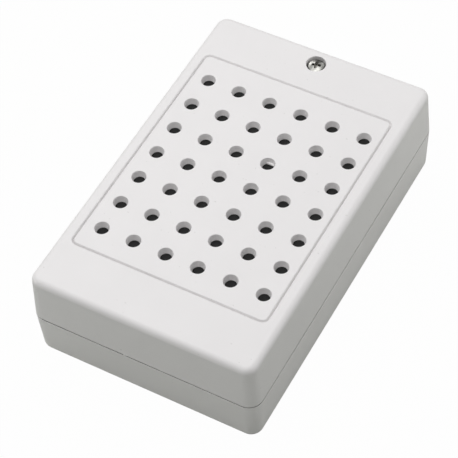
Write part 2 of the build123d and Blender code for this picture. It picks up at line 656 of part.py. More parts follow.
with BuildPart() as yoke:
    with Locations((0, GRILLE_Y, YOKE_Z)):
        Cylinder(PLATE_R, YOKE_THICKNESS, align=(Align.CENTER, Align.CENTER, Align.MAX))
        pole_height = MAGNET_HEIGHT + PLATE_THICKNESS
        Cylinder(POLE_R, pole_height, align=(Align.CENTER, Align.CENTER, Align.MIN))
    chamfer(yoke.edges().group_by(Axis.Z)[0], SHEET)

# Foam ring between the flange and the cloth
with BuildPart() as speaker_gasket:
    with BuildSketch(Plane.XY.offset(SPEAKER_Z + SURROUND_THICKNESS)):
        with Locations((0, GRILLE_Y)):
            Circle(SURROUND_RIM_R)
            Circle(GASKET_INNER_R, mode=Mode.SUBTRACT)
    extrude(amount=SPEAKER_GAP - SURROUND_THICKNESS - CLOTH_GAP)

# Steel plates and screws that clamp the loudspeaker's flange to the posts
with BuildPart() as speaker_clamps:
    with BuildSketch(Plane.XY.offset(SPEAKER_Z)):
        with Locations((0, GRILLE_Y)):
            with PolarLocations(CLAMP_RADIUS, len(CLAMP_POINTS), start_angle=45):
                Rectangle(CLAMP_LENGTH, CLAMP_WIDTH)
                Circle(CLAMP_BORE_R, mode=Mode.SUBTRACT)
    extrude(amount=CLAMP_THICKNESS)


def small_screws(points, seat_z, length):
    """Plain screws, each a head and a core, standing on a row of seats."""
    with Locations(*[(x, y, seat_z) for x, y in points]):
        head_height = SMALL_SCREW_HEAD_HEIGHT
        Cylinder(SMALL_SCREW_HEAD_R, head_height, align=(Align.CENTER, Align.CENTER, Align.MIN))
        Cylinder(SMALL_SCREW_CORE_R, length, align=(Align.CENTER, Align.CENTER, Align.MAX))


with BuildPart() as speaker_screws:
    small_screws(CLAMP_POINTS, SPEAKER_Z + CLAMP_THICKNESS, SMALL_SCREW_LENGTH)

with BuildPart() as board_screws:
    small_screws(BOARD_SCREW_POINTS, BOARD_TOP, BOARD_SCREW_LENGTH)

# Tag board on the basket's ear, with its two solder tags
with BuildPart() as tag_board:
    with BuildSketch(Plane.XY.offset(TAG_BOARD_Z)):
        with Locations((0, TAG_Y)):
            Rectangle(TAG_BOARD_WIDTH, TAG_BOARD_DEPTH)
    extrude(amount=TAG_BOARD_THICKNESS)

with BuildPart() as solder_tags:
    with BuildSketch(Plane.XY.offset(TAG_BOARD_Z + TAG_BOARD_THICKNESS)):
        with Locations((-TAG_X, TAG_Y), (TAG_X, TAG_Y)):
            SlotOverall(TAG_LENGTH, TAG_WIDTH, rotation=90)
    extrude(amount=TAG_THICKNESS)

TAG_TOP = TAG_BOARD_Z + TAG_BOARD_THICKNESS + TAG_THICKNESS


def wire(points, radius):
    """A round wire along straight runs joined by arcs. Gives its length and its bends."""
    radii = lead_radii(points)
    with BuildLine() as route:
        FilletPolyline(*points, radius=radii)
    path = route.wire()
    with BuildSketch(Plane(origin=points[0], z_dir=path % 0)) as section:
        Circle(radius)
    sweep(section.sketch, path=path)
    return path.length, radii


# Tinsel leads: flat braid from under the cone, out through a window, to the tags
with BuildPart() as tinsel_leads:
    cone_z = SPEAKER_Z - CONE_THICKNESS - (CONE_EDGE_R - TINSEL_INNER_Y) * CONE_SLOPE
    braid_z = cone_z - TINSEL_GAP - TINSEL_THICKNESS
    for x in (-TINSEL_X, TINSEL_X):
        with BuildSketch(Plane.YZ.offset(x)):
            with BuildLine():
                Polyline(
                    (GRILLE_Y - TINSEL_INNER_Y, braid_z),
                    (GRILLE_Y - TINSEL_OUTER_Y, braid_z - TINSEL_SLACK),
                    (TAG_Y, TAG_TOP + TINSEL_THICKNESS / 2 + SOLDER_GAP),
                )
            trace(line_width=TINSEL_THICKNESS)
        extrude(amount=TINSEL_WIDTH / 2, both=True)

# Connection board
with BuildPart() as circuit_board:
    with BuildSketch(Plane.XY.offset(BOARD_Z)):
        with Locations((0, BOARD_Y)):
            Rectangle(BOARD_WIDTH, BOARD_DEPTH)
        with Locations(*BOARD_SCREW_POINTS):
            Circle(BOARD_HOLE_R, mode=Mode.SUBTRACT)
        # Holes for the terminal's pins and for the resistor's leads
        with Locations(*[(x, TERMINAL_Y + CAVITY_BACK + TONGUE_THICKNESS) for x in POLE_POINTS]):
            Rectangle(PIN_WIDTH + 2 * PIN_GAP, PIN_WIDTH + 2 * PIN_GAP, mode=Mode.SUBTRACT)
        lead_holes = [(RESISTOR_X + x * RESISTOR_SPAN / 2, BOARD_Y + RESISTOR_Y) for x in (-1, 1)]
        with Locations(*lead_holes):
            Circle(COMPONENT_LEAD_R + PIN_GAP, mode=Mode.SUBTRACT)
    extrude(amount=BOARD_THICKNESS)

# Screw terminal housing: a cavity, a wire mouth and a screw well for each pole
with BuildPart() as terminal_housing:
    with Locations((TERMINAL_X, TERMINAL_Y, BOARD_TOP)):
        housing = (POLES * POLE_PITCH, TERMINAL_DEPTH, TERMINAL_HEIGHT)
        Box(*housing, align=(Align.CENTER, Align.CENTER, Align.MIN))
    chamfer(terminal_housing.edges().filter_by(Axis.X).group_by(Axis.Z)[-1], TERMINAL_CHAMFER)
    for pole_x in POLE_POINTS:
        with Locations((pole_x, TERMINAL_Y + CAVITY_BACK, BOARD_TOP + CAVITY_FLOOR)):
            cavity = (CAVITY_WIDTH, CAVITY_FRONT - CAVITY_BACK, CAVITY_TOP - CAVITY_FLOOR)
            Box(*cavity, align=(Align.CENTER, Align.MIN, Align.MIN), mode=Mode.SUBTRACT)
        with Locations((pole_x, TERMINAL_Y + CAVITY_FRONT, BOARD_TOP + MOUTH_BOTTOM)):
            mouth = (MOUTH_WIDTH, TERMINAL_DEPTH / 2 - CAVITY_FRONT, MOUTH_HEIGHT)
            Box(*mouth, align=(Align.CENTER, Align.MIN, Align.MIN), mode=Mode.SUBTRACT)
        with Locations((pole_x, TERMINAL_Y, BOARD_TOP + TERMINAL_HEIGHT)):
            well_r = CLAMP_SCREW_HEAD_R + SCREW_RUN_GAP
            Hole(well_r, depth=TERMINAL_HEIGHT - CAVITY_TOP)
        with Locations((pole_x, TERMINAL_Y + CAVITY_BACK + TONGUE_THICKNESS, BOARD_TOP)):
            foot = (PIN_WIDTH + 2 * PIN_GAP, PIN_WIDTH + 2 * PIN_GAP, CAVITY_FLOOR)
            Box(*foot, align=(Align.CENTER, Align.CENTER, Align.MIN), mode=Mode.SUBTRACT)

# Contacts: a tongue through each cage, bent down behind it into a board pin
with BuildPart() as terminal_contacts:
    heel_y = CAVITY_BACK + TONGUE_THICKNESS / 2
    for pole_x in POLE_POINTS:
        with Locations((pole_x, TERMINAL_Y + heel_y, BOARD_TOP + TONGUE_BOTTOM)):
            tongue = (TONGUE_WIDTH, CAGE_FRONT - heel_y, TONGUE_THICKNESS)
            Box(*tongue, align=(Align.CENTER, Align.MIN, Align.MIN))
            upright = (TONGUE_WIDTH, TONGUE_THICKNESS, TONGUE_BOTTOM - CAVITY_FLOOR)
            Box(*upright, align=(Align.CENTER, Align.MIN, Align.MAX))
            pin = (PIN_WIDTH, TONGUE_THICKNESS, TONGUE_BOTTOM + PIN_REACH)
            Box(*pin, align=(Align.CENTER, Align.MIN, Align.MAX))


def terminal_cage(pole_x):
    """A brass frame that the wire goes through and that its screw lifts."""
    with Locations((pole_x, TERMINAL_Y + CAGE_BACK, BOARD_TOP + CAGE_BOTTOM)):
        cage = (CAGE_WIDTH, CAGE_FRONT - CAGE_BACK, CAGE_HEIGHT)
        Box(*cage, align=(Align.CENTER, Align.MIN, Align.MIN))
    with Locations((pole_x, TERMINAL_Y + CAGE_BACK, BOARD_TOP + CAGE_BOTTOM + CAGE_PLATE)):
        window = (CAGE_WIDTH - 2 * CAGE_WALL, CAGE_FRONT - CAGE_BACK, CAGE_HEIGHT - 2 * CAGE_PLATE)
        Box(*window, align=(Align.CENTER, Align.MIN, Align.MIN), mode=Mode.SUBTRACT)
    with Locations((pole_x, TERMINAL_Y, BOARD_TOP + CAGE_BOTTOM + CAGE_HEIGHT)):
        Hole(CLAMP_SCREW_CORE_R + SCREW_RUN_GAP, depth=CAGE_PLATE)


def terminal_screw(pole_x):
    """A slotted clamp screw whose head stays in the well of the housing."""
    with Locations((pole_x, TERMINAL_Y, BOARD_TOP + CAVITY_TOP + SCREW_RUN_GAP)):
        head_height = CLAMP_SCREW_HEAD_HEIGHT
        Cylinder(CLAMP_SCREW_HEAD_R, head_height, align=(Align.CENTER, Align.CENTER, Align.MIN))
        shank = CAVITY_TOP - TONGUE_BOTTOM - TONGUE_THICKNESS
        Cylinder(CLAMP_SCREW_CORE_R, shank, align=(Align.CENTER, Align.CENTER, Align.MAX))
    with Locations((pole_x, TERMINAL_Y, BOARD_TOP + CAVITY_TOP + SCREW_RUN_GAP + head_height)):
        slot = (2 * CLAMP_SCREW_HEAD_R, CLAMP_SCREW_SLOT, 2 * CLAMP_SCREW_SLOT_DEPTH)
        Box(*slot, align=(Align.CENTER, Align.CENTER, Align.CENTER), mode=Mode.SUBTRACT)


with BuildPart() as terminal_cage_1:
    terminal_cage(POLE_POINTS[0])
with BuildPart() as terminal_cage_2:
    terminal_cage(POLE_POINTS[1])
with BuildPart() as terminal_screw_1:
    terminal_screw(POLE_POINTS[0])
with BuildPart() as terminal_screw_2:
    terminal_screw(POLE_POINTS[1])

# Volume trimmer: body with a round well, and the rotor in it
trimmer_place = (TRIMMER_X, BOARD_Y + TRIMMER_Y)
well_z = BOARD_TOP + TRIMMER_HEIGHT - ROTOR_HEIGHT
with BuildPart() as trimmer_body:
    with BuildSketch(Plane.XY.offset(BOARD_TOP)):
        with Locations(trimmer_place):
            Rectangle(TRIMMER_SIZE, TRIMMER_SIZE)
    extrude(amount=TRIMMER_HEIGHT)
    with Locations((*trimmer_place, BOARD_TOP + TRIMMER_HEIGHT)):
        Hole(ROTOR_R + ROTOR_GAP, depth=ROTOR_HEIGHT)

with BuildPart() as trimmer_rotor:
    with Locations((*trimmer_place, well_z + ROTOR_GAP)):
        rotor_height = ROTOR_HEIGHT - ROTOR_GAP + ROTOR_PROUD
        Cylinder(ROTOR_R, rotor_height, align=(Align.CENTER, Align.CENTER, Align.MIN))
    with Locations((*trimmer_place, well_z + ROTOR_GAP + rotor_height)):
        cross = (ROTOR_SLOT_LENGTH, ROTOR_SLOT, 2 * ROTOR_SLOT_DEPTH)
        Box(*cross, align=(Align.CENTER, Align.CENTER, Align.CENTER), mode=Mode.SUBTRACT)
        pointer = (ROTOR_SLOT, ROTOR_SLOT_LENGTH / 2, 2 * ROTOR_SLOT_DEPTH)
        Box(*pointer, align=(Align.CENTER, Align.MIN, Align.CENTER), mode=Mode.SUBTRACT)

# Coupling capacitor: can with a rolled groove, standing on the board
with BuildPart() as coupling_capacitor:
    capacitor_foot = (CAPACITOR_X, BOARD_Y + CAPACITOR_Y, BOARD_TOP)
    with BuildSketch(Plane(origin=capacitor_foot, x_dir=(1, 0, 0), z_dir=(0, -1, 0))):
        with BuildLine():
            Polyline(
                (0, 0),
                (CAPACITOR_R, 0),
                (CAPACITOR_R, CAPACITOR_GROOVE_Z - CAPACITOR_GROOVE),
                (CAPACITOR_R - CAPACITOR_GROOVE, CAPACITOR_GROOVE_Z),
                (CAPACITOR_R, CAPACITOR_GROOVE_Z + CAPACITOR_GROOVE),
                (CAPACITOR_R, CAPACITOR_HEIGHT - CAPACITOR_EDGE),
                (CAPACITOR_R - CAPACITOR_EDGE, CAPACITOR_HEIGHT),
                (0, CAPACITOR_HEIGHT),
                close=True,
            )
        make_face()
    revolve(axis=Axis(capacitor_foot, (0, 0, 1)))

# Series resistor lying on the board, with its leads bent down through it
with BuildPart() as series_resistor:
    resistor_z = BOARD_TOP + RESISTOR_R + RESISTOR_LIFT
    with Locations(*[(*hole, resistor_z + COMPONENT_LEAD_R) for hole in lead_holes]):
        leg = resistor_z + COMPONENT_LEAD_R - BOARD_TOP + COMPONENT_LEAD_REACH
        Cylinder(COMPONENT_LEAD_R, leg, align=(Align.CENTER, Align.CENTER, Align.MAX))
    with Locations(Plane(origin=(RESISTOR_X, BOARD_Y + RESISTOR_Y, resistor_z), z_dir=(1, 0, 0))):
        Cylinder(COMPONENT_LEAD_R, RESISTOR_SPAN)
        Cylinder(RESISTOR_R, RESISTOR_LENGTH)


def speaker_lead(side):
    """An insulated lead from the board up to one solder tag."""
    board_x, board_y = LEAD_CENTRE_X + side * LEAD_X, BOARD_Y + LEAD_Y
    tag_y, tag_z = TAG_Y - TAG_LENGTH / 2 + LEAD_TAG_INSET, TAG_TOP + LEAD_R + SOLDER_GAP
    route = [(board_x, board_y, BOARD_TOP), (board_x, board_y, tag_z), (side * TAG_X, tag_y, tag_z)]
    length, radii = wire(route, LEAD_R)
    print("lead length", round(length, 1), "bends", [round(r, 1) for r in radii])


with BuildPart() as lead_black:
    speaker_lead(-1)
with BuildPart() as lead_red:
    speaker_lead(1)

pieces = {
    "front_cover": front_cover,
    "rear_base": rear_base,
    "acoustic_cloth": acoustic_cloth,
    "cover_screw": cover_screw,
    "speaker_basket": speaker_basket,
    "cone_surround": cone_surround,
    "speaker_cone": speaker_cone,
    "dust_cap": dust_cap,
    "coil_former": coil_former,
    "voice_coil": voice_coil,
    "spider": spider,
    "top_plate": top_plate,
    "magnet": magnet,
    "yoke": yoke,
    "speaker_gasket": speaker_gasket,
    "speaker_clamps": speaker_clamps,
    "speaker_screws": speaker_screws,
    "tag_board": tag_board,
    "solder_tags": solder_tags,
    "tinsel_leads": tinsel_leads,
    "circuit_board": circuit_board,
    "board_screws": board_screws,
    "terminal_housing": terminal_housing,
    "terminal_contacts": terminal_contacts,
    "terminal_cage_1": terminal_cage_1,
    "terminal_cage_2": terminal_cage_2,
    "terminal_screw_1": terminal_screw_1,
    "terminal_screw_2": terminal_screw_2,
    "trimmer_body": trimmer_body,
    "trimmer_rotor": trimmer_rotor,
    "coupling_capacitor": coupling_capacitor,
    "series_resistor": series_resistor,
    "lead_black": lead_black,
    "lead_red": lead_red,
}
os.makedirs("parts", exist_ok=True)
for label, piece in pieces.items():
    piece.part.label = label
    export_step(piece.part, f"parts/{label}.step")
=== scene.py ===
import json
from math import acos, cos, pi, radians, sin, tan

import bmesh
import bpy
from mathutils import Matrix, Vector


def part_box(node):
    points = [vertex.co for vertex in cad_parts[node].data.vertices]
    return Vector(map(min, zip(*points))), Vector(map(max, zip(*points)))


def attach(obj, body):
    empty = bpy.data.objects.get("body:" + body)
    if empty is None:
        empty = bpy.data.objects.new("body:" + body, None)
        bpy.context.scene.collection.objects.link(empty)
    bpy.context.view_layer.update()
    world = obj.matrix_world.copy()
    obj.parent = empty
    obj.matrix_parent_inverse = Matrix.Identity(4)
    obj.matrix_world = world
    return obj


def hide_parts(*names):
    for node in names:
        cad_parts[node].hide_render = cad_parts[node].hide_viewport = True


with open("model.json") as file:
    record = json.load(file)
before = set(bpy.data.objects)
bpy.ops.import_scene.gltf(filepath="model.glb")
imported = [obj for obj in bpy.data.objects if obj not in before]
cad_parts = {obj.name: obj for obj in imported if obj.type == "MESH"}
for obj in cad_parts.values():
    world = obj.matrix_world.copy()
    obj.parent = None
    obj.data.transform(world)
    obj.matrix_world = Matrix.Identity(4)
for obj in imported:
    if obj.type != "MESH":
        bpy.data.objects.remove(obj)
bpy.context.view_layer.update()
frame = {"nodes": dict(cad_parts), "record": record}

# A wall box for an intercom: two moulded shells, a plated screw, black cloth behind the holes,
# and a loudspeaker with its connection board inside. +Z is up and everything is in metres.
MM = 0.001

# Places read from the frame
COVER_LOW, COVER_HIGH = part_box("front_cover")
CLOTH_LOW, CLOTH_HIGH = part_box("acoustic_cloth")
SCREW_LOW, SCREW_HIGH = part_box("cover_screw")
BASKET_LOW, BASKET_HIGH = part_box("speaker_basket")
BOARD_LOW, BOARD_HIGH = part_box("circuit_board")

# Outer shells
BOX_WIDTH = COVER_HIGH.x - COVER_LOW.x
BOX_LENGTH = COVER_HIGH.y - COVER_LOW.y
TOP_Z = COVER_HIGH.z
CORNER_R = 4.4 * MM
CORNER_SEGMENTS = 12
COVER_DRAFT = radians(3.3)
BASE_DRAFT = radians(2.4)
TOP_EDGE_R = 2.1 * MM
BACK_EDGE_R = 2.0 * MM
SIDE_WALL = 2.4 * MM
CEILING_Z = CLOTH_HIGH.z
TOP_WALL = TOP_Z - CEILING_Z
BACK_WALL = 2.2 * MM
INNER_EDGE_R = 0.7 * MM
END_Y = -BOX_LENGTH / 2

# Parting line: a narrow gap, and a rim of the base that falls inwards behind it and stays dark
PARTING_Z = 16.4 * MM
PARTING_EDGE_R = 0.25 * MM
RIM_EDGE_R = 0.1 * MM
PARTING_GAP = 0.33 * MM
PARTING_GAP_DEPTH = 0.9 * MM
PARTING_GAP_FALL = 1.5 * MM
LIP_INSET = 1.4 * MM
LIP_HEIGHT = 1.4 * MM
LIP_GAP = 0.15 * MM
LIP_EDGE_R = 0.2 * MM

# Gate mark on the cover's edge, which hangs over the gap
GATE_X = -5.1 * MM
GATE_R = 0.7 * MM
GATE_RISE = 0.1 * MM
GATE_HANG = 0.15 * MM
GATE_PROUD = 0.15 * MM
GATE_FLAT = 0.55

# How far vertices merge, a cut runs past a face, a face stands clear and a root sinks in
MERGE = 0.002 * MM
OVERRUN = 1.0 * MM
SKIN = 0.01 * MM
BURY = 0.3 * MM

# Sound holes, and the soft line of the panel round them
HOLE_COLUMNS = 6
HOLE_ROWS = 7
HOLE_PITCH = 10.5 * MM
HOLE_R = 2.2 * MM
HOLE_BACK_R = 1.75 * MM
HOLE_RIM = 0.22 * MM
HOLE_SEGMENTS = 40
GRILLE_Y = (CLOTH_LOW.y + CLOTH_HIGH.y) / 2
LINE_WIDTH = 1.2 * MM
LINE_DEPTH = 0.9 * MM
LINE_STEPS = 20
LINE_SHOULDER = 2.1
LINE_CORNER_R = 2.0 * MM
LINE_X = -0.33 * MM
LINE_Y = GRILLE_Y + 0.5 * MM
PANEL_MARGIN_X = 5.25 * MM
PANEL_MARGIN_Y = 8.8 * MM
PANEL_WIDTH = (HOLE_COLUMNS - 1) * HOLE_PITCH + 2 * PANEL_MARGIN_X
PANEL_LENGTH = (HOLE_ROWS - 1) * HOLE_PITCH + 2 * PANEL_MARGIN_Y
WEB_OFFSET = 1.27 * MM
WEB_PLACE = (0.5 * HOLE_PITCH, GRILLE_Y + HOLE_PITCH + WEB_OFFSET)
WEB_THICKNESS = 0.5 * MM

# Cover screw, its seat, and the posts that it joins
SCREW_Y = (SCREW_LOW.y + SCREW_HIGH.y) / 2
SCREW_HEAD_R = (SCREW_HIGH.x - SCREW_LOW.x) / 2
SCREW_HEAD_HEIGHT = 3.05 * MM
SCREW_CORE_R = 1.1 * MM
SCREW_THREAD = 0.35 * MM
SCREW_CROSS = (3.1 * MM, 1.4 * MM)
SEAT_DEPTH = 3.5 * MM
HEAD_Z = TOP_Z - SEAT_DEPTH
SEAT_R = SCREW_HEAD_R + 0.38 * MM
SEAT_RIM = 0.22 * MM
SEAT_FLOOR = 1.6 * MM
TURRET_R = SEAT_R + 1.4 * MM
CLEARANCE_R = SCREW_CORE_R + 0.55 * MM
PILOT_R = SCREW_CORE_R + 0.22 * MM
PILOT_DEPTH = 9.0 * MM
POST_R = CLEARANCE_R + 2.25 * MM
POST_GAP = 0.2 * MM
RIB = 1.4 * MM

# Hooks of the cover and their pockets in the base
HOOK_X = 18.0 * MM
HOOK_WIDTH = 8.0 * MM
HOOK_FACE_Y = END_Y + SIDE_WALL + 0.4 * MM
HOOK_THICKNESS = 1.6 * MM
HOOK_NOSE = 1.45 * MM
HOOK_DROP = 4.7 * MM
HOOK_ROOT = 6.5 * MM
HOOK_ROOT_INSET = 0.6 * MM
HOOK_ARC_R = 3.0 * MM
HOOK_GAP = 0.15 * MM
HOOK_SIDE_GAP = 0.3 * MM
HOOK_NOTCH_GAP = 0.6 * MM
POCKET_Y = HOOK_FACE_Y - HOOK_NOSE - 0.25 * MM
PIVOT_Y = END_Y + PARTING_EDGE_R
ARC_POINTS = 6

# Cloth, and the frame round it under the ceiling
CLOTH_WIDTH = CLOTH_HIGH.x - CLOTH_LOW.x
CLOTH_LENGTH = CLOTH_HIGH.y - CLOTH_LOW.y
CLOTH_FRAME_GAP = 0.3 * MM
CLOTH_FRAME_WIDTH = 1.0 * MM
CLOTH_FRAME_HEIGHT = 0.9 * MM
CLOTH_THICKNESS = 0.18 * MM
CLOTH_SLACK = 0.06 * MM
CLOTH_RIPPLE = 0.4
CLOTH_CELLS = (124, 144)

# Back of the base
WALL_HOLE_X = BOX_WIDTH / 2 - 8.9 * MM
WALL_HOLE_Y = BOX_LENGTH / 2 - 12.2 * MM
WALL_HOLE_R = 2.25 * MM
ENTRY_WIDTH = 20.0 * MM
ENTRY_LENGTH = 11.0 * MM
ENTRY_CORNER_R = 2.5 * MM
ENTRY_Y = -24.0 * MM
ENTRY_RIM_WIDTH = 1.2 * MM
ENTRY_RIM_HEIGHT = 1.0 * MM

# What the loudspeaker and the board stand on
SPEAKER_Z = BASKET_HIGH.z
FLANGE_R = (BASKET_HIGH.x - BASKET_LOW.x) / 2
FLANGE_THICKNESS = 0.7 * MM
CLAMP_PLACE = (FLANGE_R + 2.8 * MM) / 2**0.5
CLAMP_POST_R = 4.0 * MM
CLAMP_SEAT_GAP = 0.3 * MM
SMALL_PILOT_R = 1.1 * MM
BOARD_SCREW_X = 18.6 * MM
BOARD_SCREW_Y = (BOARD_LOW.y + BOARD_HIGH.y) / 2 - 6.0 * MM
BOARD_Z = BOARD_LOW.z
STANDOFF_R = 2.9 * MM
CORNERS = [(x, y) for x in (-1, 1) for y in (-1, 1)]
CLAMP_POINTS = [(x * CLAMP_PLACE, GRILLE_Y + y * CLAMP_PLACE) for x, y in CORNERS]
BOARD_SCREW_POINTS = [(x * BOARD_SCREW_X, BOARD_SCREW_Y) for x in (-1, 1)]


def round_steps(radius, count, start=0.0):
    """Steps of (inset, rise) that round an edge over, from a wall leaning by start to level."""
    angles = [start + (pi / 2 - start) * i / count for i in range(count + 1)]
    return [
        (radius * (cos(a) - cos(b)), radius * (sin(b) - sin(a))) for a, b in zip(angles, angles[1:])
    ]


def flare_steps(radius, count):
    """Steps of (inset, rise) down the soft rim of a hole, from the level surface to its wall."""
    return [(inset, -rise) for inset, rise in reversed(round_steps(radius, count))]


def groove_steps(width, depth, count):
    """Steps of (inset, rise) across a line with soft shoulders, down one side and up the other."""
    sides = [abs(2 * i / count - 1) for i in range(count + 1)]
    levels = [-depth * (1 - side) ** LINE_SHOULDER for side in sides]
    return [(width / count, b - a) for a, b in zip(levels, levels[1:])]


def down(steps):
    """The same steps, going down."""
    return [(inset, -rise) for inset, rise in steps]


def grow(bm, face, steps):
    """Extends a form from one face: each step insets the face and lifts it."""
    for inset, rise in steps:
        if inset:
            bmesh.ops.inset_region(
                bm, faces=[face], thickness=inset, use_boundary=True, use_even_offset=True
            )
        else:
            grown = bmesh.ops.extrude_face_region(bm, geom=[face])["geom"]
            if face.is_valid:
                bm.faces.remove(face)
            face = next(part for part in grown if isinstance(part, bmesh.types.BMFace))
        bmesh.ops.translate(bm, vec=(0, 0, rise), verts=face.verts)
    return face


def close_form(bm, face, up, below=()):
    """Makes a closed form on a flat face, by steps above it and steps below it."""
    grow(bm, face, up)
    rim = [edge for edge in bm.edges if edge.is_boundary]
    floor = bmesh.ops.holes_fill(bm, edges=rim, sides=0)["faces"][0]
    grow(bm, floor, below)


def plate(bm, width, length, corner, place):
    """A level face in the shape of a rounded rectangle."""
    made = bmesh.ops.create_grid(bm, x_segments=1, y_segments=1, size=0.5)["verts"]
    bmesh.ops.scale(bm, vec=(width, length, 1), verts=made)
    bmesh.ops.translate(bm, vec=place, verts=made)
    face = made[0].link_faces[0]
    if corner:
        made = bmesh.ops.bevel(
            bm,
            geom=made,
            offset=corner,
            offset_type="OFFSET",
            affect="VERTICES",
            segments=CORNER_SEGMENTS,
            profile=0.5,
            material=-1,
        )["verts"]
        face = max(made[0].link_faces, key=lambda f: len(f.verts))
    return face


def box_plate(bm, inset, z):
    """A level face in the shape of the box's outline, inset from it."""
    return plate(bm, BOX_WIDTH - 2 * inset, BOX_LENGTH - 2 * inset, CORNER_R - inset, (0, 0, z))


def disc(bm, radius, place, segments=HOLE_SEGMENTS):
    """A level round face."""
    made = bmesh.ops.create_circle(
        bm, cap_ends=True, radius=radius, segments=segments, matrix=Matrix.Translation(place)
    )["verts"]
    return made[0].link_faces[0]


def slab(bm, width, length, corner, place, height):
    """A rounded block that stands on a place."""
    close_form(bm, plate(bm, width, length, corner, place), [(0, height)])


def stud(bm, radius, place, height):
    """A cylinder that stands on a place."""
    close_form(bm, disc(bm, radius, place), [(0, height)])


def prism(bm, outline, x, width):
    """A form with an outline of (y, z) points, extruded both ways along X."""
    corners = [bm.verts.new((x - width / 2, y, z)) for y, z in outline]
    face = bm.faces.new(corners)
    grown = bmesh.ops.extrude_face_region(bm, geom=[face])["geom"]
    moved = [part for part in grown if isinstance(part, bmesh.types.BMVert)]
    bmesh.ops.translate(bm, vec=(width, 0, 0), verts=moved)


def spun(bm, outline, place, ring=False, segments=72):
    """A form turned about the upright axis through a place, from (radius, height) points."""
    verts = [bm.verts.new(Vector(place) + Vector((r, 0, z))) for r, z in outline]
    pairs = list(zip(verts, verts[1:])) + ([(verts[-1], verts[0])] if ring else [])
    edges = [bm.edges.new(pair) for pair in pairs]
    bmesh.ops.spin(
        bm,
        geom=verts + edges,
        axis=(0, 0, 1),
        cent=place,
        angle=2 * pi,
        steps=segments,
        use_merge=True,
    )


def placed(name, data):
    """Puts a mesh, a light or a camera in the scene as an object."""
    made = bpy.data.objects.new(name, data)
    bpy.context.scene.collection.objects.link(made)
    return made


def as_piece(name, bm):
    """Turns a bmesh into an object."""
    mesh = bpy.data.meshes.new(name)
    bm.to_mesh(mesh)
    bm.free()
    return placed(name, mesh)


def new_mesh(name, bm):
    """Turns a bmesh of closed forms into an object, with its faces pointing outwards."""
    bmesh.ops.remove_doubles(bm, verts=bm.verts, dist=MERGE)
    bmesh.ops.recalc_face_normals(bm, faces=bm.faces)
    return as_piece(name, bm)


def built(name, *makers):
    """An object from functions that each add forms to one bmesh."""
    bm = bmesh.new()
    for maker in makers:
        maker(bm)
    return new_mesh(name, bm)


def settle(piece):
    """Applies a piece's modifiers to its mesh."""
    graph = bpy.context.evaluated_depsgraph_get()
    mesh = bpy.data.meshes.new_from_object(piece.evaluated_get(graph))
    old = piece.data
    piece.modifiers.clear()
    piece.data = mesh
    bpy.data.meshes.remove(old)


def combine(piece, operation, *makers, overlapping=False):
    """Joins forms to a piece, or cuts them out of it. The forms may overlap each other."""
    tool = built("tool", *makers)
    modifier = piece.modifiers.new("combine", "BOOLEAN")
    modifier.object = tool
    modifier.operation = operation
    modifier.solver = "EXACT"
    modifier.use_self = overlapping
    settle(piece)
    old = tool.data
    bpy.data.objects.remove(tool)
    bpy.data.meshes.remove(old)


def soften(piece, width, segments=2):
    """Rounds the corners of a piece over by a small bevel."""
    modifier = piece.modifiers.new("soft edges", "BEVEL")
    modifier.width = width
    modifier.segments = segments
    modifier.limit_method = "ANGLE"
    modifier.angle_limit = radians(40)
    settle(piece)


def smooth(piece, sharp=35):
    """Shades a piece smoothly, with flat faces kept flat and corners past an angle sharp."""
    piece.data.shade_smooth()
    piece.data.set_sharp_from_angle(angle=radians(sharp))
    modifier = piece.modifiers.new("weighted normals", "WEIGHTED_NORMAL")
    modifier.keep_sharp = True
    modifier.weight = 50


def finish(piece, body, slot, material, *nodes):
    """Puts a finished piece on its body, in place of its CAD nodes."""
    piece.data.materials.clear()
    piece.data.materials.append(material)
    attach(piece, body)
    if nodes:
        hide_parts(*nodes)
    return piece


def body_and_slot(node):
    """The body that a CAD node rides on, and its material slot."""
    bodies, subparts = frame["record"]["behaviour"]["bodies"], frame["record"]["subparts"]
    body = next(name for name, nodes in bodies.items() if node in nodes)
    return body, next(part["material_slot"] for part in subparts if part["node"] == node)


def stand_for(piece, node, material, sharp=35):
    """Finishes a piece on the body of the CAD node that it stands for."""
    smooth(piece, sharp)
    return finish(piece, *body_and_slot(node), material, node)


def refined(node, material, edge=0.0, sharp=35):
    """A CAD node's own shape as one merged mesh, with its corners softened."""
    bm = bmesh.new()
    bm.from_mesh(frame["nodes"][node].data)
    bmesh.ops.remove_doubles(bm, verts=bm.verts, dist=MERGE)
    bmesh.ops.dissolve_limit(bm, angle_limit=radians(1), verts=bm.verts, edges=bm.edges)
    piece = as_piece(node + "_shown", bm)
    if edge:
        soften(piece, edge)
    return stand_for(piece, node, material, sharp)


class Value:
    """A number or colour in a material, which Python's operators turn into Math nodes."""

    def __init__(self, paint, socket):
        self.paint = paint
        self.socket = socket

    def maths(self, operation, first, second):
        return self.paint.node("ShaderNodeMath", {"operation": operation}, {0: first, 1: second})

    def __add__(self, other):
        return self.maths("ADD", self, other)

    def __radd__(self, other):
        return self.maths("ADD", other, self)

    def __sub__(self, other):
        return self.maths("SUBTRACT", self, other)

    def __rsub__(self, other):
        return self.maths("SUBTRACT", other, self)

    def __mul__(self, other):
        return self.maths("MULTIPLY", self, other)

    def __rmul__(self, other):
        return self.maths("MULTIPLY", other, self)

    def __gt__(self, other):
        return self.maths("GREATER_THAN", self, other)

    def __lt__(self, other):
        return self.maths("LESS_THAN", self, other)


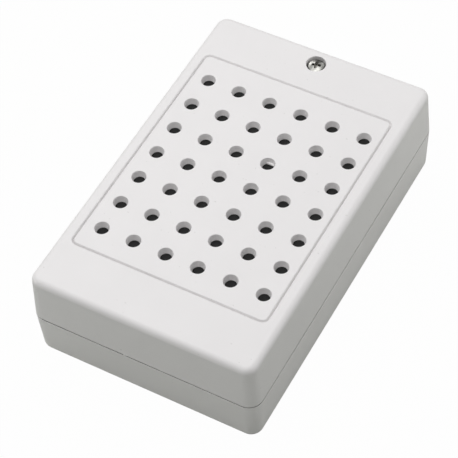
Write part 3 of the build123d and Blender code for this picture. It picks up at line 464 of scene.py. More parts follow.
class Paint:
    """The nodes of one material, or of the light of the room."""

    def __init__(self, owner):
        owner.use_nodes = True
        self.owner = owner
        self.nodes = owner.node_tree.nodes
        self.links = owner.node_tree.links

    def node(self, kind, settings=None, inputs=None, output=0):
        """Adds a node, with its settings first and then its sockets, and gives an output."""
        made = self.nodes.new(kind)
        for key, setting in (settings or {}).items():
            if key == "stops":
                for stop, (position, level) in zip(made.color_ramp.elements, setting):
                    stop.position, stop.color = position, (level, level, level, 1)
            else:
                setattr(made, key, setting)
        for key, given in (inputs or {}).items():
            if isinstance(given, Value):
                self.links.new(given.socket, made.inputs[key])
            else:
                made.inputs[key].default_value = given
        return Value(self, made.outputs[output])

    def noise(self, scale, detail=2.0, vector=None):
        inputs = {"Scale": scale, "Detail": detail, "Vector": vector or self.place}
        return self.node("ShaderNodeTexNoise", {}, inputs)

    def blend(self, amount, first, second):
        """A colour between two colours."""
        settings = {"data_type": "RGBA"}
        return self.node("ShaderNodeMix", settings, {0: amount, 6: first, 7: second}, output=2)

    def ramp(self, value, *stops):
        """A level that follows a value between two stops of (position, level)."""
        return self.node("ShaderNodeValToRGB", {"stops": stops}, {"Fac": value})

    def threads(self, scale):
        """The warp and the weft of a weave, as two sets of bands."""
        inputs = {"Vector": self.place, "Scale": scale}
        ways = [{"wave_type": "BANDS", "bands_direction": way} for way in ("X", "Y")]
        return [self.node("ShaderNodeTexWave", way, inputs, 1) for way in ways]

    def axes(self):
        """The place along X and along Y."""
        inputs = {"Vector": self.place}
        return [self.node("ShaderNodeSeparateXYZ", {}, inputs, output) for output in (0, 1)]

    def near(self, value, middle, reach):
        """Whether a value lies within reach of a middle."""
        inputs = {0: value, 1: middle, 2: reach}
        return self.node("ShaderNodeMath", {"operation": "COMPARE"}, inputs)

    def feed(self, socket, value):
        self.links.new(value.socket, self.shader.inputs[socket])

    def bump(self, height, distance, strength=1.0):
        inputs = {"Height": height, "Distance": distance, "Strength": strength}
        self.feed("Normal", self.node("ShaderNodeBump", {}, inputs))


def surface(name, **constants):
    """A new material's paint, with what is the same all over set on the shader."""
    paint = Paint(bpy.data.materials.new(name))
    paint.shader = paint.nodes["Principled BSDF"]
    for key, constant in constants.items():
        paint.shader.inputs[key.replace("_", " ").title()].default_value = constant
    paint.place = paint.node("ShaderNodeTexCoord", output="Object")
    return paint


def colour(red, green, blue):
    """An sRGB colour, from 0 to 255, as Blender's linear colour."""
    levels = [c / 255 for c in (red, green, blue)]
    linear = [c / 12.92 if c <= 0.04045 else ((c + 0.055) / 1.055) ** 2.4 for c in levels]
    return (*linear, 1)


WHITE = (1, 1, 1, 1)


def moulded_plastic():
    """Pale plastic with a fine spark texture, faint clouding and a few specks."""
    paint = surface("moulded_plastic")
    tint = paint.blend(paint.noise(60, detail=3), colour(230, 228, 228), colour(235, 233, 233))
    speck = paint.noise(900, detail=1) > 0.78
    paint.feed("Base Color", paint.blend(speck * 0.25, tint, colour(170, 168, 164)))
    paint.feed("Roughness", 0.44 + 0.12 * paint.noise(300))
    paint.bump(paint.noise(3600) + 0.8 * paint.noise(1100), 0.018 * MM)
    return paint.owner


def plated_steel():
    """Bright nickel plate with faint turning marks, and dark and light patches of painted reflection at
    random.
    """
    paint = surface("plated_steel", metallic=1.0)
    # Painted reflection: the plate's colour runs between dark and light in random patches, in place of
    # the surroundings that it mirrors.
    painted_reflection = paint.ramp(paint.noise(420, detail=1), (0.35, 0.0), (0.65, 1.0))
    paint.feed("Base Color", paint.blend(painted_reflection, colour(96, 96, 93), colour(182, 181, 177)))
    paint.feed("Roughness", 0.2 + 0.16 * paint.noise(1500, detail=3))
    paint.bump(paint.noise(2500), 0.008 * MM)
    return paint.owner


def acoustic_weave():
    """Thin black cloth: crossed threads with a little fluff."""
    paint = surface("acoustic_weave", roughness=0.95)
    warp, weft = paint.threads(700.0)
    fluff = paint.noise(1800, detail=3)
    paint.feed("Base Color", paint.blend(warp * weft + 0.3 * fluff, colour(9, 9, 9), colour(26, 26, 26)))
    paint.bump(warp + weft + fluff, 0.05 * MM)
    return paint.owner


# Camera, on the photograph's viewing angle
CAMERA_AIM = Vector((6.6 * MM, -16.33 * MM, TOP_Z))
CAMERA_DISTANCE = 0.5312
CAMERA_AZIMUTH = radians(32.36)
CAMERA_ELEVATION = radians(52.39)
CAMERA_ROLL = radians(-4.73)
CAMERA_LENS = 146.5

# Studio: a broad soft light from above and to the left, three weak fills, and a white floor.
# Of each light: the way to it, its distance, its size and its power
LIGHTS = {
    "main": ((-0.42, 0.24, 0.88), 0.65, 0.65, 3.08),
    "front_fill": ((0.08, -0.40, 0.90), 0.8, 0.4, 1.83),
    "side_fill": ((0.80, 0.62, 0.35), 0.40, 0.20, 0.36),
    "left_fill": ((-0.78, -0.60, 0.08), 0.35, 0.12, 0.13),
}
ROOM_LEVEL = 0.08
FLOOR_SIZE = 1.5
FLOOR_GLOW = 0.98
FLOOR_DROP = 0.02 * MM
CONTACT = 0.1 * MM


def camera():
    """The photograph's own view."""
    made = placed("camera", bpy.data.cameras.new("camera"))
    turn = Matrix.Rotation(CAMERA_AZIMUTH, 4, "Z")
    tilt = Matrix.Rotation(pi / 2 - CAMERA_ELEVATION, 4, "X")
    roll = Matrix.Rotation(CAMERA_ROLL, 4, "Z")
    back = Matrix.Translation((0, 0, CAMERA_DISTANCE))
    made.matrix_world = Matrix.Translation(CAMERA_AIM) @ turn @ tilt @ roll @ back
    made.data.lens = CAMERA_LENS
    made.data.clip_start = 0.01
    bpy.context.scene.camera = made


def area_light(name, way, distance, size, power):
    """A square soft light that looks at the object from a direction."""
    way = Vector(way).normalized()
    light = bpy.data.lights.new(name, "AREA")
    light.size = size
    light.energy = power
    facing = way.to_track_quat("Z", "Y").to_matrix().to_4x4()
    placed(name, light).matrix_world = Matrix.Translation(way * distance) @ facing


def room():
    """Weak light from all round, and white where the camera or a mirror looks past the floor."""
    world = bpy.data.worlds.new("room")
    bpy.context.scene.world = world
    paint = Paint(world)
    dim = paint.node("ShaderNodeBackground", {}, {"Color": WHITE, "Strength": ROOM_LEVEL})
    white = paint.node("ShaderNodeBackground", {}, {"Color": WHITE, "Strength": 1.0})
    seen = paint.node("ShaderNodeLightPath", output="Is Camera Ray")
    mirrored = paint.node("ShaderNodeLightPath", output="Is Glossy Ray")
    either = paint.node("ShaderNodeMixShader", {}, {0: seen + mirrored, 1: dim, 2: white})
    paint.links.new(either.socket, paint.nodes["World Output"].inputs[0])


def floor():
    """A pale paper floor that the camera sees as white and that is clear from below.

    It glows only within CONTACT, so that it lights the back that lies on it and nothing else,
    and the back isn't black when it is seen from below.
    """
    bm = bmesh.new()
    under = Matrix.Translation((0, 0, -FLOOR_DROP))
    bmesh.ops.create_grid(bm, x_segments=1, y_segments=1, size=FLOOR_SIZE, matrix=under)
    sheet = new_mesh("floor", bm)
    paint = surface("floor_paper", roughness=0.9)
    paint.feed("Base Color", paint.blend(paint.noise(40), colour(196, 199, 192), colour(199, 202, 195)))
    glow = paint.node("ShaderNodeEmission", {}, {"Color": WHITE, "Strength": 1.0})
    seen = paint.node("ShaderNodeLightPath", output="Is Camera Ray")
    plain_floor = Value(paint, paint.shader.outputs[0])
    under_back = paint.node("ShaderNodeLightPath", output="Ray Length") < CONTACT
    inputs = {0: seen * FLOOR_GLOW + under_back, 1: plain_floor, 2: glow}
    top = paint.node("ShaderNodeMixShader", {}, inputs)
    below = paint.node("ShaderNodeNewGeometry", output="Backfacing")
    clear = paint.node("ShaderNodeBsdfTransparent")
    mixed = paint.node("ShaderNodeMixShader", {}, {0: below, 1: top, 2: clear})
    paint.links.new(mixed.socket, paint.nodes["Material Output"].inputs[0])
    paint.owner.cycles.emission_sampling = "NONE"
    sheet.data.materials.append(paint.owner)


def studio():
    """The lights, the room and the floor."""
    for name, light in LIGHTS.items():
        area_light(name, *light)
    room()
    floor()


def pivot_arc(radius, y_from, y_to):
    """Points on the arc about the edge that the cover turns on, below the parting plane."""
    angles = [-acos((y - PIVOT_Y) / radius) for y in (y_from, y_to)]
    steps = [angles[0] + (angles[1] - angles[0]) * i / ARC_POINTS for i in range(ARC_POINTS + 1)]
    return [(PIVOT_Y + radius * cos(a), PARTING_Z + radius * sin(a)) for a in steps]


def end_rib(bm, low, high):
    """The rib between a screw post and the end wall."""
    wall_y = BOX_LENGTH / 2 - SIDE_WALL / 2
    slab(bm, RIB, wall_y - SCREW_Y, 0, (0, (SCREW_Y + wall_y) / 2, low), high - low)


def cover_fittings():
    """What stands on the inside of the cover: screw turret, post, rib, hooks and cloth frame."""
    root_z = PARTING_Z + LIP_HEIGHT + LIP_GAP

    def turret(bm):
        low = TOP_Z - SEAT_DEPTH - SEAT_FLOOR
        stud(bm, TURRET_R, (0, SCREW_Y, low), CEILING_Z + BURY - low)

    def post(bm):
        stud(bm, POST_R, (0, SCREW_Y, PARTING_Z), CEILING_Z + BURY / 2 - PARTING_Z)

    def rib(bm):
        end_rib(bm, root_z, CEILING_Z + BURY / 3)

    def hooks(bm):
        root_y = END_Y + LIP_INSET + HOOK_ROOT_INSET
        nose_y = HOOK_FACE_Y - HOOK_NOSE
        back_y = HOOK_FACE_Y + HOOK_THICKNESS
        outline = pivot_arc(HOOK_ARC_R, nose_y, HOOK_FACE_Y)
        outline += [(HOOK_FACE_Y, root_z), (root_y, root_z), (root_y, root_z + HOOK_ROOT)]
        outline += [(back_y, root_z + HOOK_ROOT), (back_y, PARTING_Z - HOOK_DROP)]
        outline += [(nose_y, PARTING_Z - HOOK_DROP)]
        for x in (-HOOK_X, HOOK_X):
            prism(bm, outline, x, HOOK_WIDTH)

    def cloth_frame(bm):
        inner = 2 * CLOTH_FRAME_GAP
        outer = inner + 2 * CLOTH_FRAME_WIDTH
        low = CEILING_Z - CLOTH_FRAME_HEIGHT
        height = CLOTH_FRAME_HEIGHT + BURY
        for side in (-1, 1):
            place = (side * (CLOTH_WIDTH + inner + CLOTH_FRAME_WIDTH) / 2, GRILLE_Y, low)
            slab(bm, CLOTH_FRAME_WIDTH, CLOTH_LENGTH + outer, 0, place, height)
            place = (0, GRILLE_Y + side * (CLOTH_LENGTH + inner + CLOTH_FRAME_WIDTH) / 2, low)
            slab(bm, CLOTH_WIDTH + inner + CLOTH_FRAME_WIDTH, CLOTH_FRAME_WIDTH, 0, place, height)

    return turret, post, rib, hooks, cloth_frame


def cover_shell(material):
    """The front shell: drafted walls, soft edges, panel line, holes, screw seat and gate mark."""
    rim_z = PARTING_Z + PARTING_EDGE_R
    lean = tan(COVER_DRAFT)
    narrowing = 2 * PARTING_EDGE_R * lean
    wall = TOP_Z - rim_z - TOP_EDGE_R * (1 - sin(COVER_DRAFT))

    def outside(bm):
        face = plate(bm, BOX_WIDTH - narrowing, BOX_LENGTH - narrowing, CORNER_R, (0, 0, rim_z))
        up = [(wall * lean, wall)] + round_steps(TOP_EDGE_R, 10, COVER_DRAFT)
        close_form(bm, face, up, down(round_steps(PARTING_EDGE_R, 3)))

    def inside(bm):
        low = PARTING_Z - OVERRUN
        height = CEILING_Z - low - INNER_EDGE_R
        up = [(height * lean, height)] + round_steps(INNER_EDGE_R, 3)
        close_form(bm, box_plate(bm, SIDE_WALL, low), up)

    def rebate(bm):
        face = box_plate(bm, LIP_INSET - LIP_GAP, PARTING_Z - OVERRUN)
        close_form(bm, face, [(0, OVERRUN + LIP_HEIGHT + LIP_GAP)])

    def panel_line(bm):
        corner = LINE_CORNER_R + LINE_WIDTH / 2
        place = (LINE_X, LINE_Y, TOP_Z + OVERRUN)
        face = plate(bm, PANEL_WIDTH + LINE_WIDTH, PANEL_LENGTH + LINE_WIDTH, corner, place)
        steps = [(0, SKIN - OVERRUN)] + groove_steps(LINE_WIDTH, LINE_DEPTH, LINE_STEPS)
        close_form(bm, face, steps)

    def holes(bm):
        drop = TOP_WALL + OVERRUN - HOLE_RIM
        taper = (HOLE_R - HOLE_BACK_R) * drop / (TOP_WALL - HOLE_RIM)
        steps = flare_steps(HOLE_RIM, 5) + [(taper, -drop)]
        for column in range(HOLE_COLUMNS):
            for row in range(HOLE_ROWS):
                x = (column - (HOLE_COLUMNS - 1) / 2) * HOLE_PITCH
                y = GRILLE_Y + (row - (HOLE_ROWS - 1) / 2) * HOLE_PITCH
                close_form(bm, disc(bm, HOLE_R + HOLE_RIM, (x, y, TOP_Z + SKIN)), steps)

    def seat(bm):
        top = disc(bm, SEAT_R + SEAT_RIM, (0, SCREW_Y, TOP_Z + SKIN), 64)
        close_form(bm, top, flare_steps(SEAT_RIM, 6) + [(0, SEAT_RIM - SEAT_DEPTH)])

    def clearance(bm):
        stud(bm, CLEARANCE_R, (0, SCREW_Y, PARTING_Z - OVERRUN), TOP_Z - PARTING_Z)

    def web(bm):
        x, y = WEB_PLACE
        place = (x, y + HOLE_BACK_R / 2, CEILING_Z)
        slab(bm, 2 * HOLE_BACK_R, HOLE_BACK_R, 0, place, WEB_THICKNESS)

    def gate_mark(bm):
        place = Vector((GATE_X, END_Y - GATE_PROUD + GATE_FLAT * GATE_R, PARTING_Z + GATE_RISE))
        flat = Matrix.Translation(place) @ Matrix.Diagonal((1, GATE_FLAT, 1, 1))
        made = bmesh.ops.create_icosphere(bm, subdivisions=4, radius=GATE_R, matrix=flat)["verts"]
        faces = {face for vert in made for face in vert.link_faces}
        edges = {edge for vert in made for edge in vert.link_edges}
        cut = bmesh.ops.bisect_plane(
            bm,
            geom=[*made, *edges, *faces],
            plane_co=(0, 0, PARTING_Z - GATE_HANG),
            plane_no=(0, 0, 1),
            clear_inner=True,
        )["geom_cut"]
        rim = [part for part in cut if isinstance(part, bmesh.types.BMEdge)]
        bmesh.ops.holes_fill(bm, edges=rim, sides=0)

    shell = built("cover_shell", outside)
    combine(shell, "DIFFERENCE", inside)
    combine(shell, "DIFFERENCE", rebate, panel_line)
    combine(shell, "UNION", *cover_fittings(), overlapping=True)
    combine(shell, "DIFFERENCE", holes, seat)
    combine(shell, "DIFFERENCE", clearance)
    combine(shell, "UNION", web, gate_mark)
    smooth(shell, 40)
    return finish(shell, "cover", "shell", material, "front_cover")


def base_shell(material):
    """The rear shell: a drafted tray with its tongue, pockets, posts, cable entry and holes.

    Its rim slopes down and inwards behind the parting gap, out of sight and out of the light.
    """
    rim_z = PARTING_Z - PARTING_GAP - RIM_EDGE_R
    lean = tan(BASE_DRAFT)
    narrowing = 2 * RIM_EDGE_R * lean
    wall = rim_z - BACK_EDGE_R * (1 - sin(BASE_DRAFT))
    post_top = PARTING_Z - POST_GAP

    def outside(bm):
        face = plate(bm, BOX_WIDTH - narrowing, BOX_LENGTH - narrowing, CORNER_R, (0, 0, rim_z))
        below = [(wall * lean, wall)] + round_steps(BACK_EDGE_R, 8, BASE_DRAFT)
        gap = [(PARTING_GAP_DEPTH, -PARTING_GAP_FALL), (0, PARTING_GAP_FALL + PARTING_GAP)]
        close_form(bm, face, round_steps(RIM_EDGE_R, 3) + gap, down(below))

    def tongue(bm):
        up = [(0, OVERRUN + LIP_HEIGHT - LIP_EDGE_R)] + round_steps(LIP_EDGE_R, 2)
        close_form(bm, box_plate(bm, LIP_INSET, PARTING_Z - OVERRUN), up)

    def inside(bm):
        depth = PARTING_Z - BACK_WALL - INNER_EDGE_R
        below = [(depth * lean, depth)] + round_steps(INNER_EDGE_R, 3)
        face = box_plate(bm, SIDE_WALL, PARTING_Z)
        close_form(bm, face, [(0, LIP_HEIGHT + OVERRUN)], down(below))

    def pockets(bm):
        outline = pivot_arc(HOOK_ARC_R - HOOK_GAP, POCKET_Y, HOOK_FACE_Y)
        low = PARTING_Z - HOOK_DROP - HOOK_SIDE_GAP
        outline += [(HOOK_FACE_Y, low), (POCKET_Y, low)]
        for x in (-HOOK_X, HOOK_X):
            prism(bm, outline, x, HOOK_WIDTH + 2 * HOOK_SIDE_GAP)

    def notches(bm):
        for x in (-HOOK_X, HOOK_X):
            place = (x, END_Y + SIDE_WALL, PARTING_Z)
            slab(bm, HOOK_WIDTH + 2 * HOOK_NOTCH_GAP, 2 * SIDE_WALL, 0, place, LIP_HEIGHT + OVERRUN)

    def screw_post(bm):
        stud(bm, POST_R, (0, SCREW_Y, BACK_WALL - BURY), post_top + BURY - BACK_WALL)

    def rib(bm):
        end_rib(bm, BACK_WALL - BURY / 2, post_top - BURY / 3)

    def clamp_posts(bm):
        for x, y in CLAMP_POINTS:
            stud(bm, CLAMP_POST_R, (x, y, BACK_WALL - BURY), SPEAKER_Z + BURY - BACK_WALL)

    def standoffs(bm):
        for x, y in BOARD_SCREW_POINTS:
            stud(bm, STANDOFF_R, (x, y, BACK_WALL - BURY), BOARD_Z + BURY - BACK_WALL)

    def entry_rim(bm):
        rim = 2 * ENTRY_RIM_WIDTH
        corner = ENTRY_CORNER_R + ENTRY_RIM_WIDTH
        face = plate(
            bm, ENTRY_WIDTH + rim, ENTRY_LENGTH + rim, corner, (0, ENTRY_Y, BACK_WALL - BURY)
        )
        rise = ENTRY_RIM_HEIGHT + BURY - LIP_EDGE_R
        close_form(bm, face, [(0, rise)] + round_steps(LIP_EDGE_R, 3))

    def flange_seat(bm):
        low = SPEAKER_Z - FLANGE_THICKNESS
        stud(bm, FLANGE_R + CLAMP_SEAT_GAP, (0, GRILLE_Y, low), 2 * FLANGE_THICKNESS)

    def bores(bm):
        stud(bm, PILOT_R, (0, SCREW_Y, post_top - PILOT_DEPTH), PILOT_DEPTH + OVERRUN)
        for x, y in CLAMP_POINTS:
            stud(bm, SMALL_PILOT_R, (x, y, SPEAKER_Z - PILOT_DEPTH), PILOT_DEPTH + OVERRUN)
        for x, y in BOARD_SCREW_POINTS:
            stud(bm, SMALL_PILOT_R, (x, y, BACK_WALL), BOARD_Z - BACK_WALL + OVERRUN)
        for x, y in CORNERS:
            place = (x * WALL_HOLE_X, y * WALL_HOLE_Y, -OVERRUN)
            stud(bm, WALL_HOLE_R, place, BACK_WALL + 2 * OVERRUN)
        height = BACK_WALL + ENTRY_RIM_HEIGHT + 2 * OVERRUN
        slab(bm, ENTRY_WIDTH, ENTRY_LENGTH, ENTRY_CORNER_R, (0, ENTRY_Y, -OVERRUN), height)

    shell = built("base_shell", outside)
    combine(shell, "UNION", tongue)
    combine(shell, "DIFFERENCE", inside)
    combine(shell, "DIFFERENCE", pockets)
    combine(shell, "DIFFERENCE", notches)
    fittings = (screw_post, rib, clamp_posts, standoffs, entry_rim)
    combine(shell, "UNION", *fittings, overlapping=True)
    combine(shell, "DIFFERENCE", flange_seat)
    combine(shell, "DIFFERENCE", bores)
    smooth(shell, 40)
    return finish(shell, "base", "shell", material, "rear_base")


# Cross-head screws: shares of the head's radius and height, of the cross's span and depth, of
# the thread's height, and of the core's radius for the tip, and then the small screws' sizes
HEAD_ROUNDING = 0.2
HEAD_CROWN = 0.1
CROSS_WING = 0.33
CROSS_TAPER = 0.62
CROSS_CORE = 0.72
CROSS_CORE_DEPTH = 1.2
CROSS_LEAD = 0.1 * MM
CROSS_TURN = radians(13)
THREAD_FLANK = 0.55
THREAD_PITCH = 1.0 * MM
THREAD_STEPS = 24
SCREW_TIP = 1.5
SMALL_HEAD = (2.5 * MM, 1.7 * MM)
SMALL_CROSS = (2.9 * MM, 0.9 * MM)
SMALL_CORE_R = 1.0 * MM
BOARD_SCREW_LENGTH = 5.0 * MM
CLAMP_SCREW_LENGTH = 8.0 * MM


def head_outline(radius, height):
    """The outline of a pan head, from its crown down to its underside."""
    rounding, rise = HEAD_ROUNDING * radius, HEAD_CROWN * height
    flat = radius - rounding
    crown = [(flat * i / 6, height - rise * (i / 6) ** 2) for i in range(7)]
    angles = [pi / 2 * i / 8 for i in range(1, 9)]
    shoulder = [(flat + rounding * sin(a), height - rise - rounding * (1 - cos(a))) for a in angles]
    return crown + shoulder + [(radius, 0)]


def cross_recess(bm, place, span, depth):
    """A cross-head recess: two tapered slots that meet in a deeper middle."""
    x, y, z = place
    wing = CROSS_WING * span
    centre = Matrix.Translation((-x, -y, 0))
    for width, length in ((span, wing), (wing, span)):
        face = plate(bm, width, length, 0, (x, y, z + CROSS_LEAD))
        high = list(face.verts)
        made = bmesh.ops.extrude_face_region(bm, geom=[face])["geom"]
        low = [part for part in made if isinstance(part, bmesh.types.BMVert)]
        bmesh.ops.translate(bm, vec=(0, 0, -CROSS_LEAD - depth), verts=low)
        bmesh.ops.scale(bm, vec=(CROSS_TAPER, CROSS_TAPER, 1), space=centre, verts=low)
        turn = Matrix.Rotation(CROSS_TURN, 3, "Z")
        bmesh.ops.rotate(bm, cent=(x, y, 0), matrix=turn, verts=high + low)
    core = CROSS_CORE_DEPTH * depth
    stud(bm, CROSS_CORE * wing, (x, y, z - core), core + CROSS_LEAD / 2)


def thread(bm, place, core_r, height, length):
    """The helical ridge of a screw's thread, down from a place."""
    start = Vector(place)
    half = THREAD_FLANK * height
    profile = [(core_r - BURY / 3, half), (core_r + height, 0), (core_r - BURY / 3, -half)]
    verts = [bm.verts.new(start + Vector((r, 0, z))) for r, z in profile]
    edges = [bm.edges.new(pair) for pair in zip(verts, verts[1:] + verts[:1])]
    turns = length / THREAD_PITCH
    bmesh.ops.spin(
        bm,
        geom=verts + edges,
        axis=(0, 0, 1),
        cent=place,
        dvec=(0, 0, -THREAD_PITCH / THREAD_STEPS),
        angle=2 * pi * turns,
        steps=int(turns * THREAD_STEPS),
    )
    bmesh.ops.holes_fill(bm, edges=[edge for edge in bm.edges if edge.is_boundary], sides=0)


def screws(name, points, seat_z, head, core_r, ridge, length, cross):
    """Cross-head screws in a row of seats, as one piece."""
    radius, height = head
    span, depth = cross
    tip = SCREW_TIP * core_r
    outline = head_outline(radius, height)
    outline += [(core_r, 0), (core_r, tip - length), (0, -length)]

    def bodies(bm):
        for x, y in points:
            spun(bm, outline, (x, y, seat_z), segments=48)

    def threads(bm):
        for x, y in points:
            thread(bm, (x, y, seat_z - tip), core_r, ridge, length - 2 * tip)

    def recesses(bm):
        for x, y in points:
            cross_recess(bm, (x, y, seat_z + height), span, depth)

    piece = built(name, bodies)
    if ridge:
        combine(piece, "UNION", threads, overlapping=True)
    combine(piece, "DIFFERENCE", recesses, overlapping=True)
    return piece


def cover_screw(material):
    """The plated screw in the cover's seat."""
    head = (SCREW_HEAD_R, SCREW_HEAD_HEIGHT)
    core = (SCREW_CORE_R, SCREW_THREAD, HEAD_Z - SCREW_LOW.z)
    piece = screws("cover_screw_shown", [(0, SCREW_Y)], HEAD_Z, head, *core, SCREW_CROSS)
    return stand_for(piece, "cover_screw", material)


# Loudspeaker sizes, from its axis and its flange
AXIS = (0, GRILLE_Y, 0)
SHEET = 0.6 * MM
SURROUND_RIM_R = FLANGE_R - 1.9 * MM
SURROUND_OUTER_R = 24.4 * MM
SURROUND_INNER_R = 21.6 * MM
SURROUND_THICKNESS = 0.3 * MM
SURROUND_WAVE = 0.6 * MM
CONE_EDGE_R = 20.4 * MM
CONE_NECK_R = 7.0 * MM
CONE_DEPTH = 7.6 * MM
CONE_RIBS = 6
CONE_RIB_RISE = 0.07 * MM
PAPER = 0.35 * MM
CAP_R = 8.0 * MM
CAP_RISE = 2.2 * MM
CAP_Z = SPEAKER_Z + 0.1 * MM - (CONE_EDGE_R - CAP_R) * CONE_DEPTH / (CONE_EDGE_R - CONE_NECK_R)
MOUTH_R = 23.6 * MM
SHELF_DEPTH = 8.6 * MM
SHELF_OUTER_R = 15.4 * MM
SHELF_INNER_R = 12.8 * MM
PLATE_Z = SPEAKER_Z - 11.5 * MM
PLATE_THICKNESS = 2.5 * MM
PLATE_R = 14.0 * MM
PLATE_BORE_R = 7.4 * MM
BASKET_BORE_R = PLATE_BORE_R + 0.5 * MM
WINDOWS = 4
WINDOW_RADIUS = 19.3 * MM
WINDOW_LENGTH = 15.0 * MM
WINDOW_WIDTH = 6.0 * MM
WINDOW_CORNER_R = 1.2 * MM
EAR_WIDTH = 9.0 * MM
EAR_REACH = 22.0 * MM
MAGNET_R = 16.0 * MM
MAGNET_BORE_R = PLATE_BORE_R + 1.2 * MM
MAGNET_HEIGHT = 6.0 * MM
YOKE_THICKNESS = 2.2 * MM
FORMER_R = 6.5 * MM
FORMER_OUTER_R = 6.8 * MM
POLE_R = FORMER_R - 0.3 * MM
COIL_R = 7.15 * MM
COIL_HEIGHT = 5.0 * MM
COIL_TURNS = 20
COIL_NOTCH = 0.1 * MM
COIL_SHOULDER = 0.02 * MM
SPIDER_WAVE = 0.55 * MM
GASKET_INNER_R = SURROUND_OUTER_R + 0.2 * MM
GASKET_SQUARENESS = 5
GASKET_POINTS = 32
CLAMP_THICKNESS = 0.8 * MM

# Connection board
BOARD_TOP = BOARD_HIGH.z
CAPACITOR_LOW, CAPACITOR_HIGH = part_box("coupling_capacitor")
CAPACITOR_X = (CAPACITOR_LOW.x + CAPACITOR_HIGH.x) / 2
CAPACITOR_Y = (CAPACITOR_LOW.y + CAPACITOR_HIGH.y) / 2
CAPACITOR_R = (CAPACITOR_HIGH.x - CAPACITOR_LOW.x) / 2
CAN_TOP_R = 0.72 * CAPACITOR_R
CAN_ROLL_R = 0.74 * CAPACITOR_R
CAN_TOP_SINK = 0.25 * MM
RESISTOR_LOW, RESISTOR_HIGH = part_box("series_resistor")
RESISTOR_X = (RESISTOR_LOW.x + RESISTOR_HIGH.x) / 2
RESISTOR_BODY = 3.15 * MM
RESISTOR_WIRE_Y = RESISTOR_LOW.y + 1.15 * MM
TAG_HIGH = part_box("solder_tags")[1]
TAG_X = TAG_HIGH.x - 1.1 * MM
TAG_JOINT_Y = GRILLE_Y - 22.4 * MM
TERMINAL_X = -9.0 * MM
POLE_PITCH = 5.08 * MM
PIN_Y = -39.4 * MM

# Copper tracks in mm, along the box and across it: the middle of each, its start and its end
TRACKS_ALONG = ((-11.5, -50, -41), (-6.5, -44, -34), (1.0, -51, -34), (9.5, -51, -34), (19.5, -44, -34))
TRACKS_ACROSS = ((-50.2, -15.1, 1.0), (-34.6, -6.5, 9.5), (-50.4, 1.0, 14.5))
TRACK_HALF_WIDTH = 0.55 * MM

# Finishes inside the box: two near colours, roughness, grain per metre, relief in mm, share of metal
FINISHES = {
    "zinc_steel": ((150, 150, 147), (184, 184, 179), 0.26, 420, 0.006, 1.0),
    "doped_edge": ((34, 34, 34), (50, 50, 48), 0.42, 900, 0.02, 0.0),
    "former_foil": ((196, 196, 194), (216, 216, 214), 0.22, 700, 0.005, 1.0),
    "coil_copper": ((168, 84, 50), (206, 116, 72), 0.24, 900, 0.006, 1.0),
    "ferrite": ((48, 48, 50), (66, 66, 67), 0.5, 1400, 0.03, 0.0),
    "small_fasteners": ((160, 157, 142), (196, 192, 172), 0.25, 800, 0.006, 1.0),
    "phenolic": ((112, 66, 34), (140, 86, 46), 0.42, 1100, 0.012, 0.0),
    "tinned": ((186, 184, 178), (214, 212, 205), 0.26, 900, 0.012, 1.0),
    "terminal_green": ((48, 138, 92), (58, 152, 104), 0.36, 700, 0.008, 0.0),
    "contact_brass": ((196, 164, 96), (222, 190, 120), 0.26, 800, 0.005, 1.0),
    "trimmer_blue": ((44, 84, 150), (54, 96, 164), 0.34, 700, 0.008, 0.0),
    "rotor_white": ((226, 226, 222), (236, 236, 232), 0.36, 700, 0.006, 0.0),
    "lead_black": ((26, 26, 26), (38, 38, 38), 0.34, 600, 0.008, 0.0),
    "lead_red": ((168, 26, 24), (188, 36, 32), 0.34, 600, 0.008, 0.0),
}


def plain(name):
    """A finish of two near colours with a fine grain."""
    first, second, roughness, scale, relief, metal = FINISHES[name]
    paint = surface(name, metallic=metal)
    paint.feed("Base Color", paint.blend(paint.noise(scale, detail=3), colour(*first), colour(*second)))
    paint.feed("Roughness", roughness + 0.14 * paint.noise(scale * 2))
    paint.bump(paint.noise(scale * 3, detail=3), relief * MM)
    return paint.owner


def felted_paper():
    """Dark pressed paper: matted fibres, a little lighter where they lie on top."""
    paint = surface("cone_paper", sheen_weight=0.15)
    fibres = paint.noise(2600, detail=5)
    clouds = paint.noise(220, detail=3)
    paint.feed("Base Color", paint.blend(fibres * clouds * 2.4, colour(50, 50, 52), colour(92, 91, 90)))
    paint.feed("Roughness", 0.72 + 0.2 * fibres)
    paint.bump(fibres + 0.4 * clouds, 0.05 * MM)
    return paint.owner


def stiffened_cloth():
    """Amber cloth stiffened with resin: a crossed weave under a thin gloss."""
    paint = surface("spider_cloth", coat_weight=0.2, coat_roughness=0.3)
    warp, weft = paint.threads(1300.0)
    paint.feed("Base Color", paint.blend(warp * weft, colour(168, 118, 52), colour(216, 166, 92)))
    paint.feed("Roughness", 0.5 + 0.2 * paint.noise(1500))
    paint.bump(warp + weft, 0.03 * MM)
    return paint.owner


def open_foam():
    """Black open-cell foam with small round pores."""
    paint = surface("foam", roughness=0.95)
    cells = paint.node("ShaderNodeTexVoronoi", {}, {"Vector": paint.place, "Scale": 2200.0})
    pores = paint.ramp(cells, (0.1, 0.0), (0.55, 1.0))
    paint.feed("Base Color", paint.blend(pores, colour(16, 16, 16), colour(58, 58, 58)))
    paint.bump(pores + 0.5 * paint.noise(900), 0.12 * MM)
    return paint.owner


def solder_mask():
    """Green board lacquer, with the copper tracks showing a little lighter through it."""
    paint = surface("circuit_green", coat_weight=0.4, coat_roughness=0.15)
    x, y = paint.axes()
    tracks = 0.0
    for side, way, places in ((x, y, TRACKS_ALONG), (y, x, TRACKS_ACROSS)):
        for middle, start, end in places:
            near = paint.near(side, middle * MM, TRACK_HALF_WIDTH)
            tracks = near * (way > start * MM) * (way < end * MM) + tracks
    mottled = paint.blend(paint.noise(500, detail=3), colour(24, 92, 54), colour(30, 104, 62))
    paint.feed("Base Color", paint.blend(tracks, mottled, colour(62, 140, 84)))
    paint.feed("Roughness", 0.34 + 0.1 * paint.noise(900))
    paint.bump(tracks + 0.1 * paint.noise(1600), 0.02 * MM)
    return paint.owner


